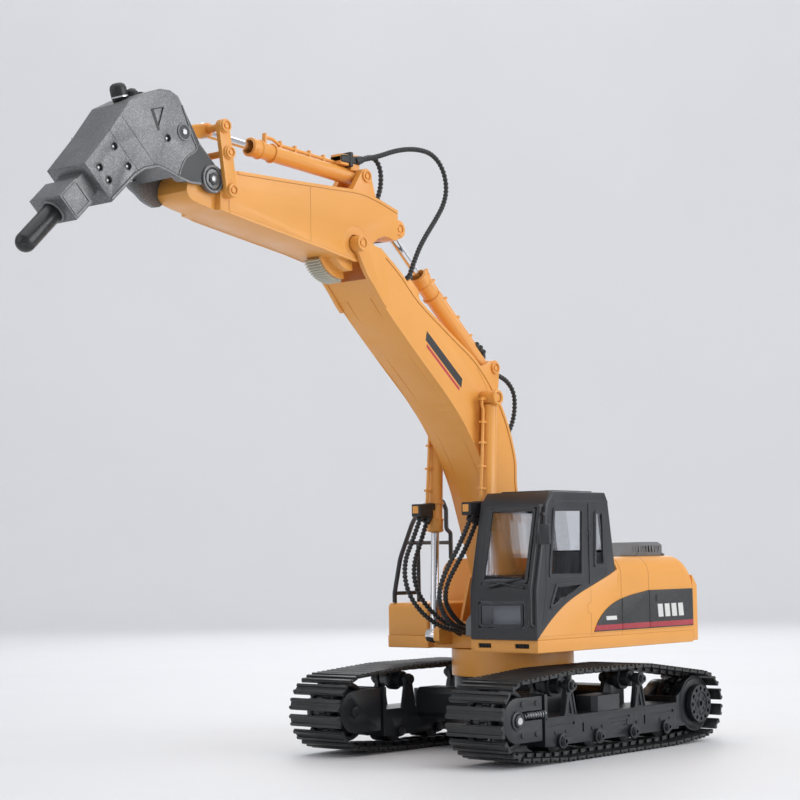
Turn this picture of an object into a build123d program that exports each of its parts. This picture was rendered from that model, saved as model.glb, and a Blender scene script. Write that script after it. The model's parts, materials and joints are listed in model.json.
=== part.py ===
from build123d import *
import math
import os

# Toy tracked excavator with a breaker on its arm, in millimetres.
# X points forwards along the boom, Y to the machine's left (the cab side), Z up.
# The origin is on the ground under the slewing axis.

# ---------------------------------------------------------------- driving dimensions
TRACK_HALF = 96.0          # half the width over both tracks
SHOE_WIDTH = 47.5
SHOE_COUNT = 56
CHAIN_T, SHOE_T, GROUSER_T = 2.4, 1.6, 1.2
TRACK_T = CHAIN_T + SHOE_T + GROUSER_T
LANE = TRACK_HALF - SHOE_WIDTH / 2      # middle of the left track

IDLER = (112.0, 30.5)      # wheel centres are (X, Z)
SPROCKET = (-110.0, 27.5)
IDLER_PATH_R, SPROCKET_PATH_R = 21.8, 19.4
ROLLER_X = (62.0, 18.9, -23.9, -66.4)
ROLLER_Z, ROLLER_R = 13.4, 7.8
CARRIER_X = (51.3, -33.9)
CARRIER_Z, CARRIER_R = 50.2, 5.8
AXLE_R, FIT = 2.0, 0.05    # running clearance on a radius
PLATE_OUT, PLATE_IN = (84.5, 88.0), (57.0, 60.0)   # side plates of a track frame, along Y
FRAME_FRONT, FRAME_REAR = 80.0, -85.0
FRAME_BOTTOM, FRAME_TOP = 10.8, 30.0

PEDESTAL_R, SLEW_R = 45.0, 20.0
CHASSIS_TOP, PEDESTAL_TOP = 53.0, 72.6
DECK_BOTTOM, DECK_TOP = 73.0, 82.0
HOUSE_HALF = 82.0
COVER_FRONT, COVER_REAR, COVER_TOP = -19.0, -118.0, 138.0
WALL = 2.5

CAB_RIGHT, CAB_LEFT, CAB_ROOF = 23.5, 82.0, 184.0
CAB_WALL = 3.0

BOOM_Y = -9.2              # the boom hangs in a bay to the right of the cab
BOOM_HALF, FORK_HALF, ARM_HALF, NARROW = 19.2, 21.8, 18.0, 14.0
FOOT = (0.5, 119.0)
ELBOW = (177.3, 352.0)
BOOM_RAM_BASE, BOOM_RAM_TOP = (49.2, 82.6), (42.1, 253.7)
BOOM_RAM_Y = 25.0          # each side of the boom's middle
STICK_RAM_BASE, STICK_RAM_END = (18.6, 278.0), (124.0, 369.1)
BUCKET_RAM_BASE, LINK_TOP = (157.9, 402.2), (304.3, 412.0)
LINK_MIDDLE, LINK_FOOT = (300.5, 395.6), (297.7, 371.8)
NOSE, KNEE = (309.8, 378.1), (333.9, 404.3)
BREAKER_HALF, BREAKER_WALL = 17.5, 3.5
CHISEL_AXIS = (math.sqrt(0.5), -math.sqrt(0.5))
CHISEL_MOUTH = (422.2, 345.4)
CHISEL_R, CHISEL_OUT = 6.3, 34.6
BOSS_R, EAR_CUT = 5.6, 25.4

HOSE_R = 1.9
NIPPLE_R, NIPPLE_LENGTH = 2.6, 6.0

# Routes of the ribbed hoses, from the first fitting to the second.
ELBOW_HOSE = [(157, -4, 414.5), (140, -4.5, 419), (118, -4, 427.5), (97, -3.5, 431.5),
              (79, -3.5, 430.5), (67.5, -3.5, 421.5), (63.3, -3.5, 408), (67.5, -3, 395),
              (79, -2, 381.5), (92, 0, 369), (105, 2, 354.5), (115.5, 3, 335)]
TAIL_HOSE = [(157, -9.5, 413.5), (146, -9.5, 418.5), (136.5, -9.5, 420.5), (129.8, -9.5, 414),
             (129, -9.5, 404), (131.5, -9.5, 394), (136.5, -9.5, 385.5)]
BACK_HOSE = [(7, -9.2, 276), (-3, -9.2, 274.2), (-13, -9.2, 270), (-20, -9.2, 262),
             (-20.5, -9.2, 251), (-17.5, -9.2, 240), (-10, -9.2, 229.5), (0, -9.2, 219.5)]
RIGHT_OUTER_HOSE = [(63, -34.2, 167.5), (71.5, -34.2, 152), (81, -33.5, 138.5), (85.2, -31, 125),
                    (83.3, -28, 112), (76, -24, 100.5), (66, -19, 91.8), (55, -14.5, 87), (44, -12, 86)]
RIGHT_INNER_HOSE = [(55.5, -34.2, 165.5), (63, -34.2, 149.5), (71.5, -33.5, 135.5), (73.8, -31.5, 122),
                    (70, -28.5, 109.5), (61.5, -24.5, 99), (52, -20.5, 91.5), (43.5, -18.5, 87)]
LEFT_OUTER_HOSE = [(67, 15.8, 166), (77, 14.5, 148.5), (88, 12.5, 134), (94.8, 10, 119.5),
                   (93, 7.5, 107), (84.5, 5.5, 97.5), (72.5, 3.5, 91), (58.5, 2, 87.5), (44, 1.5, 86)]
LEFT_INNER_HOSE = [(60.5, 15.8, 163.5), (69, 14.5, 147.5), (79, 12.5, 134), (86.5, 9.5, 121),
                   (85.5, 6.5, 109.5), (77, 3.5, 101.5), (66.5, 0.5, 95.5), (55, -3, 90.5), (44, -5, 87)]

os.makedirs("parts", exist_ok=True)


# ---------------------------------------------------------------- helpers
def block(x0, x1, y0, y1, z0, z1):
    """A box given by its limits."""
    middle = Pos((x0 + x1) / 2, (y0 + y1) / 2, (z0 + z1) / 2)
    return middle * Box(abs(x1 - x0), abs(y1 - y0), abs(z1 - z0))


def plate(points, y0, y1):
    """A side plate: an outline of (X, Z) points, between two Y values."""
    outline = Polyline(*[(x, y0, z) for x, z in points], close=True)
    return extrude(make_face(outline), amount=y1 - y0, dir=(0, 1, 0))


def disc(centre, radius, y0, y1):
    """A cylinder across the machine at an (X, Z) centre."""
    return Pos(centre[0], (y0 + y1) / 2, centre[1]) * Rot(90, 0, 0) * Cylinder(radius, y1 - y0)


def hexagon(centre, radius, y0, y1):
    """A hexagonal nut or bolt head across the machine."""
    corners = [math.radians(60 * k) for k in range(6)]
    return plate([(centre[0] + radius * math.cos(a), centre[1] + radius * math.sin(a))
                  for a in corners], y0, y1)


def post(x, y, radius, z0, z1):
    """A vertical cylinder."""
    return Pos(x, y, (z0 + z1) / 2) * Cylinder(radius, z1 - z0)


def bar(start, end, radius):
    """A round bar between two points."""
    a, b = Vector(*start), Vector(*end)
    return Plane(origin=a, z_dir=b - a) * Cylinder(
        radius, (b - a).length, align=(Align.CENTER, Align.CENTER, Align.MIN))


def between(start, end, distance):
    """The (X, Z) point at a distance from start towards end."""
    span = math.dist(start, end)
    return (start[0] + (end[0] - start[0]) * distance / span,
            start[1] + (end[1] - start[1]) * distance / span)


def ram_tube(start, end, y, radius, from_mm, to_mm):
    """A round length of a ram, measured from its start pin along its axis."""
    a, b = between(start, end, from_mm), between(start, end, to_mm)
    return bar((a[0], y, a[1]), (b[0], y, b[1]), radius)


def strap(start, end, half, y0, y1):
    """A flat link with rounded ends."""
    dx, dz = end[0] - start[0], end[1] - start[1]
    span = math.hypot(dx, dz)
    nx, nz = -dz / span * half, dx / span * half
    middle = plate([(start[0] + nx, start[1] + nz), (end[0] + nx, end[1] + nz),
                    (end[0] - nx, end[1] - nz), (start[0] - nx, start[1] - nz)], y0, y1)
    return middle + disc(start, half, y0, y1) + disc(end, half, y0, y1)


def both_sides(make):
    """The two mirrored copies of a piece about the boom's middle, as one group."""
    return make(1) + make(-1)


def span_y(side, near, far):
    """Y limits of a layer that lies near..far from the boom's middle, on one side."""
    low, high = sorted((BOOM_Y + side * near, BOOM_Y + side * far))
    return low, high


def nipple(face, beyond):
    """The stub that a hose end meets at face, pointing away from the next point."""
    a, b = Vector(*face), Vector(*beyond)
    return bar(face, tuple(a + (a - b).normalized() * NIPPLE_LENGTH), NIPPLE_R)


def hose(points, name):
    """A hose: straight runs joined by the largest tangent arcs that they allow."""
    nodes = [Vector(*p) for p in points]
    runs = [b - a for a, b in zip(nodes, nodes[1:])]
    radii = [0.45 * min(a.length, b.length) / math.tan(math.radians(a.get_angle(b)) / 2)
             for a, b in zip(runs, runs[1:])]
    line = FilletPolyline(*points, radius=radii)
    tube = sweep(Plane(origin=line @ 0, z_dir=line % 0) * Circle(HOSE_R), path=line)
    ratio = tube.volume / (math.pi * HOSE_R ** 2 * line.length)
    print(name, "radii", [round(r, 1) for r in radii], "length", round(line.length, 1),
          "volume over section times length", round(ratio, 4))
    save(tube, name)


def save(shape, name):
    export_step(shape, f"parts/{name}.step")


def save_pair(shape, name):
    """A left piece and its mirror image on the right."""
    save(shape, f"{name}_left")
    save(mirror(shape, about=Plane.XZ), f"{name}_right")


# ---------------------------------------------------------------- tracks
def half_turn(a, b, c):
    """Which way three (X, Z) points turn: positive is anticlockwise."""
    return (b[0] - a[0]) * (c[1] - a[1]) - (b[1] - a[1]) * (c[0] - a[0])


def belt(circles):
    """The tight loop round circles (x, z, r), anticlockwise."""
    cloud = sorted((x + r * math.cos(math.radians(d)), z + r * math.sin(math.radians(d)))
                   for x, z, r in circles for d in range(0, 360, 2))
    loop = []
    for order in (cloud, cloud[::-1]):
        chain = []
        for p in order:
            while len(chain) > 1 and half_turn(chain[-2], chain[-1], p) <= 0:
                chain.pop()
            chain.append(p)
        loop += chain[:-1]
    return loop


def even_steps(loop, count):
    """Points at equal distances round a closed loop."""
    ends = loop[1:] + loop[:1]
    lengths = [math.dist(a, b) for a, b in zip(loop, ends)]
    step = sum(lengths) / count
    points, walked, target = [], 0.0, 0.0
    for a, b, length in zip(loop, ends, lengths):
        while target <= walked + length and len(points) < count:
            t = (target - walked) / length
            points.append((a[0] + (b[0] - a[0]) * t, a[1] + (b[1] - a[1]) * t))
            target += step
        walked += length
    return points


def track():
    """The left track: two link strands and one shoe with two grousers per link."""
    rollers = [(x, ROLLER_Z, ROLLER_Z - TRACK_T) for x in (ROLLER_X[0], ROLLER_X[-1])]
    carriers = [(x, CARRIER_Z, CARRIER_R + 0.4) for x in CARRIER_X]
    loop = belt([(*IDLER, IDLER_PATH_R), (*SPROCKET, SPROCKET_PATH_R)] + rollers + carriers)
    points = even_steps(loop, SHOE_COUNT)
    pieces = []
    for a, b in zip(points, points[1:] + points[:1]):
        length = math.dist(a, b)
        plane = Plane(origin=((a[0] + b[0]) / 2, LANE, (a[1] + b[1]) / 2),
                      x_dir=(b[0] - a[0], 0, b[1] - a[1]), z_dir=(b[1] - a[1], 0, a[0] - b[0]))
        shoe = Pos(0, 0, CHAIN_T + SHOE_T / 2) * Box(length * 0.84, SHOE_WIDTH, SHOE_T)
        for x in (-0.27, 0.27):
            ridge = Pos(x * length, 0, CHAIN_T + SHOE_T + GROUSER_T / 2)
            shoe += ridge * Box(length * 0.2, SHOE_WIDTH, GROUSER_T)
        for y in (-6, 6):
            shoe += Pos(0, y, CHAIN_T / 2) * Box(length * 0.97, 4, CHAIN_T)
            shoe += Pos(0, y * 1.5, CHAIN_T / 2) * Box(length * 0.5, 1.6, CHAIN_T)
        pieces.append(plane * shoe)
    return Compound(pieces)


def track_frame():
    """The left roller frame, open below, with its posts for the carrier rollers."""
    profile = [(FRAME_REAR, FRAME_BOTTOM), (FRAME_FRONT, FRAME_BOTTOM),
               (FRAME_FRONT, 46.0), (FRAME_FRONT - 3, 46.0), (FRAME_FRONT - 3, FRAME_TOP),
               (FRAME_REAR, FRAME_TOP)]
    frame = plate(profile, PLATE_IN[0], PLATE_OUT[1])
    frame -= block(FRAME_REAR - 1, FRAME_FRONT - 3, PLATE_IN[1], PLATE_OUT[0], 0, FRAME_TOP - 3)
    for y0, y1 in (PLATE_IN, PLATE_OUT):
        for x in ROLLER_X:
            frame += disc((x, ROLLER_Z), 4.2, y0, y1)
        for x in CARRIER_X:
            frame += plate([(x - 7, FRAME_TOP), (x + 7, FRAME_TOP), (x + 3, CARRIER_Z),
                            (x - 3, CARRIER_Z)], y0, y1)
            frame += disc((x, CARRIER_Z), 4.2, y0, y1)
            if y1 == PLATE_OUT[1]:
                frame -= plate([(x - 2.6, FRAME_TOP + 1), (x + 2.6, FRAME_TOP + 1),
                                (x, FRAME_TOP + 11)], y1 - 1.2, y1 + 1)
    for x in ROLLER_X:
        frame -= disc((x, ROLLER_Z), AXLE_R + FIT, PLATE_IN[0] - 1, PLATE_OUT[1] + 1)
    for x in CARRIER_X:
        frame -= disc((x, CARRIER_Z), AXLE_R + FIT, PLATE_IN[0] - 1, PLATE_OUT[1] + 1)
    step = block(-16.5, 17, 66, 85, FRAME_TOP, 40.7)
    frame += chamfer(step.edges().filter_by(Axis.Z), 3.5)
    face = PLATE_OUT[1]
    for x0, x1 in ((46, 76), (-78, -48)):
        frame -= block(x0, x1, face - 1, face + 1, 23.4, 25.6)
    for x in (36, -40):
        frame -= block(x - 1, x + 1, face - 1.4, face + 1, 17.5, 24)
    for row, half in enumerate((13, 10, 7)):
        frame -= block(-8 - half, -8 + half, face - 0.8, face + 1, 24 - 3 * row, 25.4 - 3 * row)
    return frame


def final_drive():
    """The left gearbox: an outer guard, an inner case and the web that joins the frame."""
    disc_y, case_y = (83.5, 86.5), (51.0, 61.0)
    web = block(FRAME_REAR - 3.5, FRAME_REAR, case_y[0], disc_y[1], 12, 34)
    guard = disc(SPROCKET, 20.6, *disc_y)
    guard += plate([(-112, 12.0), (FRAME_REAR, 12.0), (FRAME_REAR, 34), (-104, 44)], *disc_y)
    case = disc(SPROCKET, 17.0, *case_y)
    case += plate([(-112, 12.0), (FRAME_REAR, 12.0), (FRAME_REAR, 34), (-106, 43)], *case_y)
    drive = web + guard + case
    drive -= disc(SPROCKET, 6 + FIT, 54, disc_y[1] + 1)
    rim = disc(SPROCKET, 19.6, disc_y[1] - 0.6, disc_y[1] + 1)
    return drive - (rim - disc(SPROCKET, 18.6, disc_y[1] - 1, disc_y[1] + 2))


def sprocket():
    """The left sprocket: flanges that carry the chain, teeth between the strands, a hub."""
    wheel = disc(SPROCKET, 18.4, LANE - 9, LANE + 9)
    wheel -= disc(SPROCKET, 19, LANE - 3.2, LANE + 3.2) - disc(SPROCKET, 16.5, LANE - 4, LANE + 4)
    teeth = 11
    for k in range(teeth):
        turn = 2 * math.pi * k / teeth
        tip = (SPROCKET[0] + 18.2 * math.cos(turn), SPROCKET[1] + 18.2 * math.sin(turn))
        wheel += disc(tip, 2.2, LANE - 1.6, LANE + 1.6)
    wheel += disc(SPROCKET, 6, 54.5, 88)
    hub = disc(SPROCKET, 14, 88, 92)
    for k in range(12):
        turn = 2 * math.pi * k / 12
        at = (SPROCKET[0] + 11.2 * math.cos(turn), SPROCKET[1] + 11.2 * math.sin(turn))
        hub -= disc(at, 1.5, 90, 93)
    hub -= disc(SPROCKET, 8.6, 91, 93) - disc(SPROCKET, 3.4, 90, 94)
    for k in range(6):
        turn = 2 * math.pi * (k + 0.5) / 6
        at = (SPROCKET[0] + 6.3 * math.cos(turn), SPROCKET[1] + 6.3 * math.sin(turn))
        hub += disc(at, 1.3, 90.5, 91.8)
    hub -= disc(SPROCKET, 2, 89, 93)
    return wheel + hub


def idler():
    """The left front wheel with its centre ridge, dished sides and shaft."""
    wheel = disc(IDLER, 20.9, LANE - 9, LANE + 9) + disc(IDLER, 22.8, LANE - 2.6, LANE + 2.6)
    for y0, y1 in ((LANE + 5, LANE + 10), (LANE - 10, LANE - 5)):
        wheel -= disc(IDLER, 17.5, y0, y1) - disc(IDLER, 8, y0, y1)
    return wheel + disc(IDLER, 4, 54.5, 91)


def idler_yoke():
    """The left sliding bracket that carries the front wheel, slotted for its spring."""
    yoke = None
    for y0, y1 in ((85.0, 89.0), (56.0, 59.0)):
        cheek = disc(IDLER, 15, y0, y1) + block(84.5, IDLER[0], y0, y1, 15.5, 45.5)
        yoke = cheek if yoke is None else yoke + cheek
    yoke += block(84.5, 88.5, 56, 89, 15.5, 45.5)
    yoke -= disc(IDLER, 4 + FIT, 50, 95)
    yoke -= block(84, 106.3, 83, 90, 33 - 3.2, 33 + 3.2)
    for x in (91, 106.5):
        for z in (20.5, 41):
            yoke += disc((x, z), 1.9, 89, 90)
    return yoke


def track_spring():
    """The left tensioning spring, as the cylinder that its coils fill."""
    return bar((FRAME_FRONT, 87, 33), (102.5, 87, 33), 2.6)


def wheel_on_axle(centre, tread, ridge, hub):
    """A small wheel between the frame's plates with its axle and outer hub."""
    wheel = disc(centre, tread, LANE - 9, LANE + 9)
    if ridge:
        wheel += disc(centre, ridge, LANE - 2.6, LANE + 2.6)
    wheel += disc(centre, AXLE_R, 54.9, 89) + disc(centre, 3.4, 54.9, 56.7)
    wheel += disc(centre, hub, 88.3, 90.2) + hexagon(centre, hub * 0.72, 90.2, 91.4)
    wheel += disc(centre, 2.6, 91.4, 92.6)
    return wheel - disc(centre, 1.3, 91, 93)


def chassis():
    """The centre body between the tracks, with two cross beams."""
    body = post(0, 0, 43, 30, CHASSIS_TOP)
    for x0, x1 in ((16, 44), (-60, -32)):
        body += chamfer(block(x0, x1, -57, 57, 22, 44).edges().filter_by(Axis.Y), 4)
    return body


# ---------------------------------------------------------------- house
def deck():
    """The slewing deck with its hub and a lip under the cab."""
    left, right = HOUSE_HALF, -HOUSE_HALF
    outline = [(78, left), (78, CAB_RIGHT), (40, CAB_RIGHT), (40, -42), (47, -42),
               (47, right + 1), (COVER_REAR, right), (COVER_REAR, left)]
    base = extrude(make_face(Polyline(*[(x, y, DECK_BOTTOM) for x, y in outline], close=True)),
                   amount=DECK_TOP - DECK_BOTTOM, dir=(0, 0, 1))
    for y0, y1 in ((30, 41), (62, 74)):
        base -= block(76, 79, y0, y1, 76.2, 79.2)
    return base + post(0, 0, SLEW_R, 60, DECK_BOTTOM)


def engine_cover():
    """The hollow orange cover behind the cab, over the full width."""
    outer = plate([(COVER_FRONT, DECK_TOP), (COVER_FRONT, COVER_TOP), (-106, COVER_TOP),
                   (COVER_REAR, 123.5), (COVER_REAR, DECK_TOP)], -HOUSE_HALF, HOUSE_HALF)
    top = outer.edges().filter_by(Axis.X).filter_by_position(Axis.Z, COVER_TOP - 1, COVER_TOP + 1)
    outer = fillet(top, 3.5)
    inner = plate([(COVER_FRONT - WALL, DECK_TOP - 1), (COVER_FRONT - WALL, COVER_TOP - 4),
                   (-104, COVER_TOP - 4), (COVER_REAR + WALL, 121), (COVER_REAR + WALL, DECK_TOP - 1)],
                  -HOUSE_HALF + 4, HOUSE_HALF - 4)
    cover = outer - inner
    for x in (-47, -58):
        cover -= block(x - 0.25, x + 0.25, HOUSE_HALF - 0.5, HOUSE_HALF + 1, 84, 125)
    return cover


def counterweight():
    """The rounded rear weight."""
    bulge = ThreePointArc((COVER_REAR - 6.5, HOUSE_HALF, 74), (-135, 0, 74),
                          (COVER_REAR - 6.5, -HOUSE_HALF, 74))
    plan = make_face([bulge, Line(bulge @ 1, (COVER_REAR, -HOUSE_HALF, 74)),
                      Line((COVER_REAR, -HOUSE_HALF, 74), (COVER_REAR, HOUSE_HALF, 74)),
                      Line((COVER_REAR, HOUSE_HALF, 74), bulge @ 0)])
    profile = plate([(COVER_REAR, 74), (COVER_REAR, 123.5), (-125, 115), (-137, 109),
                     (-137, 80), (-130, 74)], -90, 90)
    return extrude(plan, amount=52, dir=(0, 0, 1)) & profile


def swept_cover_profile(lift, y0, y1):
    """The region under the curved seam that sweeps down beside the cab."""
    seam = Spline((78, y0, DECK_TOP + 0.4 + lift), (66.3, y0, 92.1 + lift), (46, y0, 105.1 + lift),
                  (15.7, y0, 116.9 + lift), (COVER_FRONT, y0, 129.0 + lift))
    low = DECK_TOP
    edges = [seam, Line(seam @ 1, (COVER_FRONT, y0, low)), Line((COVER_FRONT, y0, low), (78, y0, low)),
             Line((78, y0, low), seam @ 0)]
    return extrude(make_face(edges), amount=y1 - y0, dir=(0, 1, 0))


def side_cover():
    """The orange panel under the cab door."""
    return swept_cover_profile(0, HOUSE_HALF - 2.4, HOUSE_HALF)


def side_trim():
    """The dark trim panel on the left side of the house."""
    y0, y1 = HOUSE_HALF, HOUSE_HALF + 0.7
    front = Spline((12, y0, 85.3), (0.4, y0, 98.2), (-23.8, y0, 108.1), (-57.7, y0, 113.1))
    edges = [front, Line(front @ 1, (-117.4, y0, 113.1)), Line((-117.4, y0, 113.1), (-117.4, y0, 85.3)),
             Line((-117.4, y0, 85.3), front @ 0)]
    panel = extrude(make_face(edges), amount=y1 - y0, dir=(0, 1, 0))
    for x in (COVER_FRONT - 4, -58.5):
        panel -= block(x - 0.3, x + 0.3, y0, y1 + 1, 84, 114)
    return panel


def hood():
    """The grey louvred hood on the engine cover."""
    body = block(-102, -68, 42, 66, COVER_TOP, COVER_TOP + 10.5)
    body = chamfer(body.faces().sort_by(Axis.Z)[-1].edges(), 2.2)
    for k in range(7):
        x = -98 + 4.4 * k
        body -= block(x, x + 2, 64.6, 67, COVER_TOP + 3, COVER_TOP + 7.5)
        body -= block(x, x + 2, 41, 43.4, COVER_TOP + 3, COVER_TOP + 7.5)
    return body


def side_box():
    """The hollow tool box on the right of the boom bay."""
    box = block(COVER_FRONT + 0.3, 47, -81, -42, DECK_TOP, 106)
    rounded = box.edges().filter_by_position(Axis.X, 46.9, 47.1).filter_by(Axis.Y)
    box = fillet(rounded.sort_by(Axis.Z)[-1:], 4)
    box = fillet(box.edges().filter_by(Axis.X).group_by(Axis.Z)[-1], 2)
    return box - block(COVER_FRONT + WALL, 44.5, -78.5, -44.5, DECK_TOP - 1, 103)


def boom_bracket():
    """Two cheeks and the pins that carry the boom's foot and the boom rams."""
    def half(side):
        y0, y1 = span_y(side, 19.9, 22.4)
        cheek = plate([(-17, DECK_TOP), (26, DECK_TOP), (12, 124), (-12, 124)], y0, y1)
        cheek += disc(FOOT, 11, y0, y1)
        lug_y = span_y(side, 15.5, BOOM_RAM_Y - 4.3)
        lug = plate([(40, 76), (50, 76), (55, 79), (55, 87), (50, 90), (40, 90)], *lug_y)
        lug += disc(BOOM_RAM_BASE, 2.5, *span_y(side, 16, BOOM_RAM_Y + 4.6))
        return cheek + lug
    bracket = both_sides(half)
    bracket += disc(FOOT, 4, BOOM_Y - 22.4, BOOM_Y + 22.4)
    bracket += block(-17, -14.5, BOOM_Y - 22.4, BOOM_Y + 22.4, DECK_TOP, 104)
    bracket += block(28, 40, BOOM_Y - 20.7, BOOM_Y + 20.7, DECK_TOP, 92)
    for route in (RIGHT_OUTER_HOSE, RIGHT_INNER_HOSE, LEFT_OUTER_HOSE, LEFT_INNER_HOSE):
        bracket += nipple(route[-1], route[-2])
    return bracket


# ---------------------------------------------------------------- cab
def cab_body(inset):
    """The cab's outer form, shrunk by an inset."""
    outline = [(79.2, DECK_TOP), (79.2, 116), (65.5, 176), (58, CAB_ROOF), (-6, CAB_ROOF),
               (-9.5, 178), (-17, 130), (-17, DECK_TOP)]
    face = make_face(Polyline(*[(x, 0, z) for x, z in outline], close=True))
    if inset:
        face = offset(face, amount=-inset, kind=Kind.INTERSECTION)
    body = extrude(face, amount=CAB_LEFT - CAB_RIGHT - 2 * inset, dir=(0, 1, 0))
    return Pos(0, CAB_RIGHT + inset, 0) * body


def cab_windows():
    """The prisms that the window openings are cut with."""
    front = block(50, 90, 33.5, 74.5, 120, 173)
    low_front = block(70, 90, 31.5, 71.5, 90, 108)
    rear = block(-25, 5, 32, 73, 143, 172)
    door = plate([(57.6, 172.3), (22, 172.6), (23.9, 124.4), (64, 124.8)], 76, 85)
    quarter = plate([(8.6, 170.6), (-2.5, 170.6), (-3.2, 131), (10, 131)], 76, 85)
    kick = plate([(56, 119.8), (27, 119.8), (27, 117.2), (41, 112.5), (66, 100)], 76, 85)
    right = plate([(57, 172.3), (-2, 172.3), (-4, 124), (64, 124)], 20, 29)
    return front + low_front + rear + door + quarter + kick + right


def cab_shell():
    """The black cab with its window openings, stepped in behind the swept side panel."""
    shell = cab_body(0)
    verticals = shell.edges().filter_by_position(Axis.Y, CAB_LEFT - 0.1, CAB_LEFT + 0.1)
    verticals += shell.edges().filter_by_position(Axis.Y, CAB_RIGHT - 0.1, CAB_RIGHT + 0.1)
    soft = [e for e in verticals if e.center().Z > DECK_TOP + 1 and e.center().X > -16]
    shell = fillet(soft, 2.0)
    shell -= cab_body(CAB_WALL)
    shell -= cab_windows()
    recess = swept_cover_profile(0.3, HOUSE_HALF - 2.7, HOUSE_HALF + 1)
    return shell - recess


def cab_glass():
    """All the panes, in the middle of the cab's walls."""
    return (cab_body(1.2) - cab_body(2.2)) & cab_windows()


def cab_seat():
    """The driver's seat on its pedestal, with a lever console each side."""
    floor = DECK_TOP + CAB_WALL
    seat = block(10, 32, 44, 62, floor, 100) + block(6, 34, 41, 65, 100, 107)
    back = plate([(6, 107), (13, 107), (7, 142), (0, 142)], 42, 64)
    sides = block(8, 36, 35.5, 40, floor, 109) + block(8, 36, 66, 70.5, floor, 109)
    levers = post(31, 37.7, 1, 109, 119) + post(31, 68.3, 1, 109, 119)
    return seat + back + sides + levers


def cab_trim():
    """The grab bar, the mirror on its arm and the wiper."""
    line = FilletPolyline((79.2, 79.2, 92), (82.4, 79.2, 92), (82.4, 79.2, 117), (69.4, 79.2, 173.6),
                          (66.4, 79.2, 173.6), radius=1.9)
    grab = sweep(Plane(origin=line @ 0, z_dir=line % 0) * Circle(1.3), path=line)
    arm = FilletPolyline((68, 80.5, 168), (72, 84.5, 168), (74, 87, 166.5), (74, 87, 152), radius=1.8)
    mirror_arm = sweep(Plane(origin=arm @ 0, z_dir=arm % 0) * Circle(1.1), path=arm)
    mirror_head = fillet(block(73.2, 75.4, 82.6, 91.4, 147, 161).edges().filter_by(Axis.X), 1.6)
    return grab + (mirror_arm + mirror_head)


def handrail():
    """The guard rail of round tube on the right side of the boom bay."""
    radius, y = 1.7, -75.5
    hoop = FilletPolyline((45, y, 106), (45, y, 113), (38, y, 139), (22, y, 168), (2, y, 183),
                          (-13, y, 183), (-17, y, 176), (-17, y, 161), (-22, y, 158),
                          (-22, y, COVER_TOP), radius=[9, 30, 30, 20, 5, 5, 3, 3])
    rail = sweep(Plane(origin=hoop @ 0, z_dir=hoop % 0) * Circle(radius), path=hoop)
    rail += bar((43.6, y, 113), (17, y, 113), radius * 0.9)
    rail += post(17, y, radius * 0.9, 106, 150.5) + bar((32.5, y, 150.5), (-19, y, 150.5), radius * 0.9)
    return rail


def electronics():
    """Battery pack and control board inside the engine cover."""
    battery = fillet(block(-92, -34, -30, 8, DECK_TOP, 106).edges().filter_by(Axis.X), 3)
    board = block(-98, -40, 22, 62, DECK_TOP + 6, DECK_TOP + 7.6)
    legs = None
    for x in (-94, -44):
        for y in (26, 58):
            leg = post(x, y, 2, DECK_TOP, DECK_TOP + 6)
            legs = leg if legs is None else legs + leg
    chips = block(-80, -66, 34, 48, DECK_TOP + 7.6, DECK_TOP + 9.6)
    return Compound([battery, board + legs + chips])


# ---------------------------------------------------------------- boom, arm and rams
def boom_face():
    """The cranked side outline of the boom."""
    y = 0
    top = Spline((-8.5, y, 119), (3.8, y, 186), (5.5, y, 213), (19.5, y, 247), (45.2, y, 277.3),
                 (79, y, 298.7), (111.6, y, 318.8), (132.7, y, 337.2), (153.4, y, 351.8))
    bottom = Spline((173, y, 336.5), (162.6, y, 325.6), (141.9, y, 304.3), (112.6, y, 278.5),
                    (80.3, y, 250.7), (58.3, y, 226.6), (38.5, y, 196.1), (26.4, y, 166.7),
                    (9.5, y, 119))
    tip = Spline(top @ 1, (163, y, 353.2), (171, y, 355.6), (178.5, y, 357.4), (182.7, y, 351.5),
                 (178, y, 345.5), bottom @ 0)
    foot = ThreePointArc(bottom @ 1, (FOOT[0], y, FOOT[1] - 9.2), top @ 0)
    return make_face([top, tip, bottom, foot])


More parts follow.
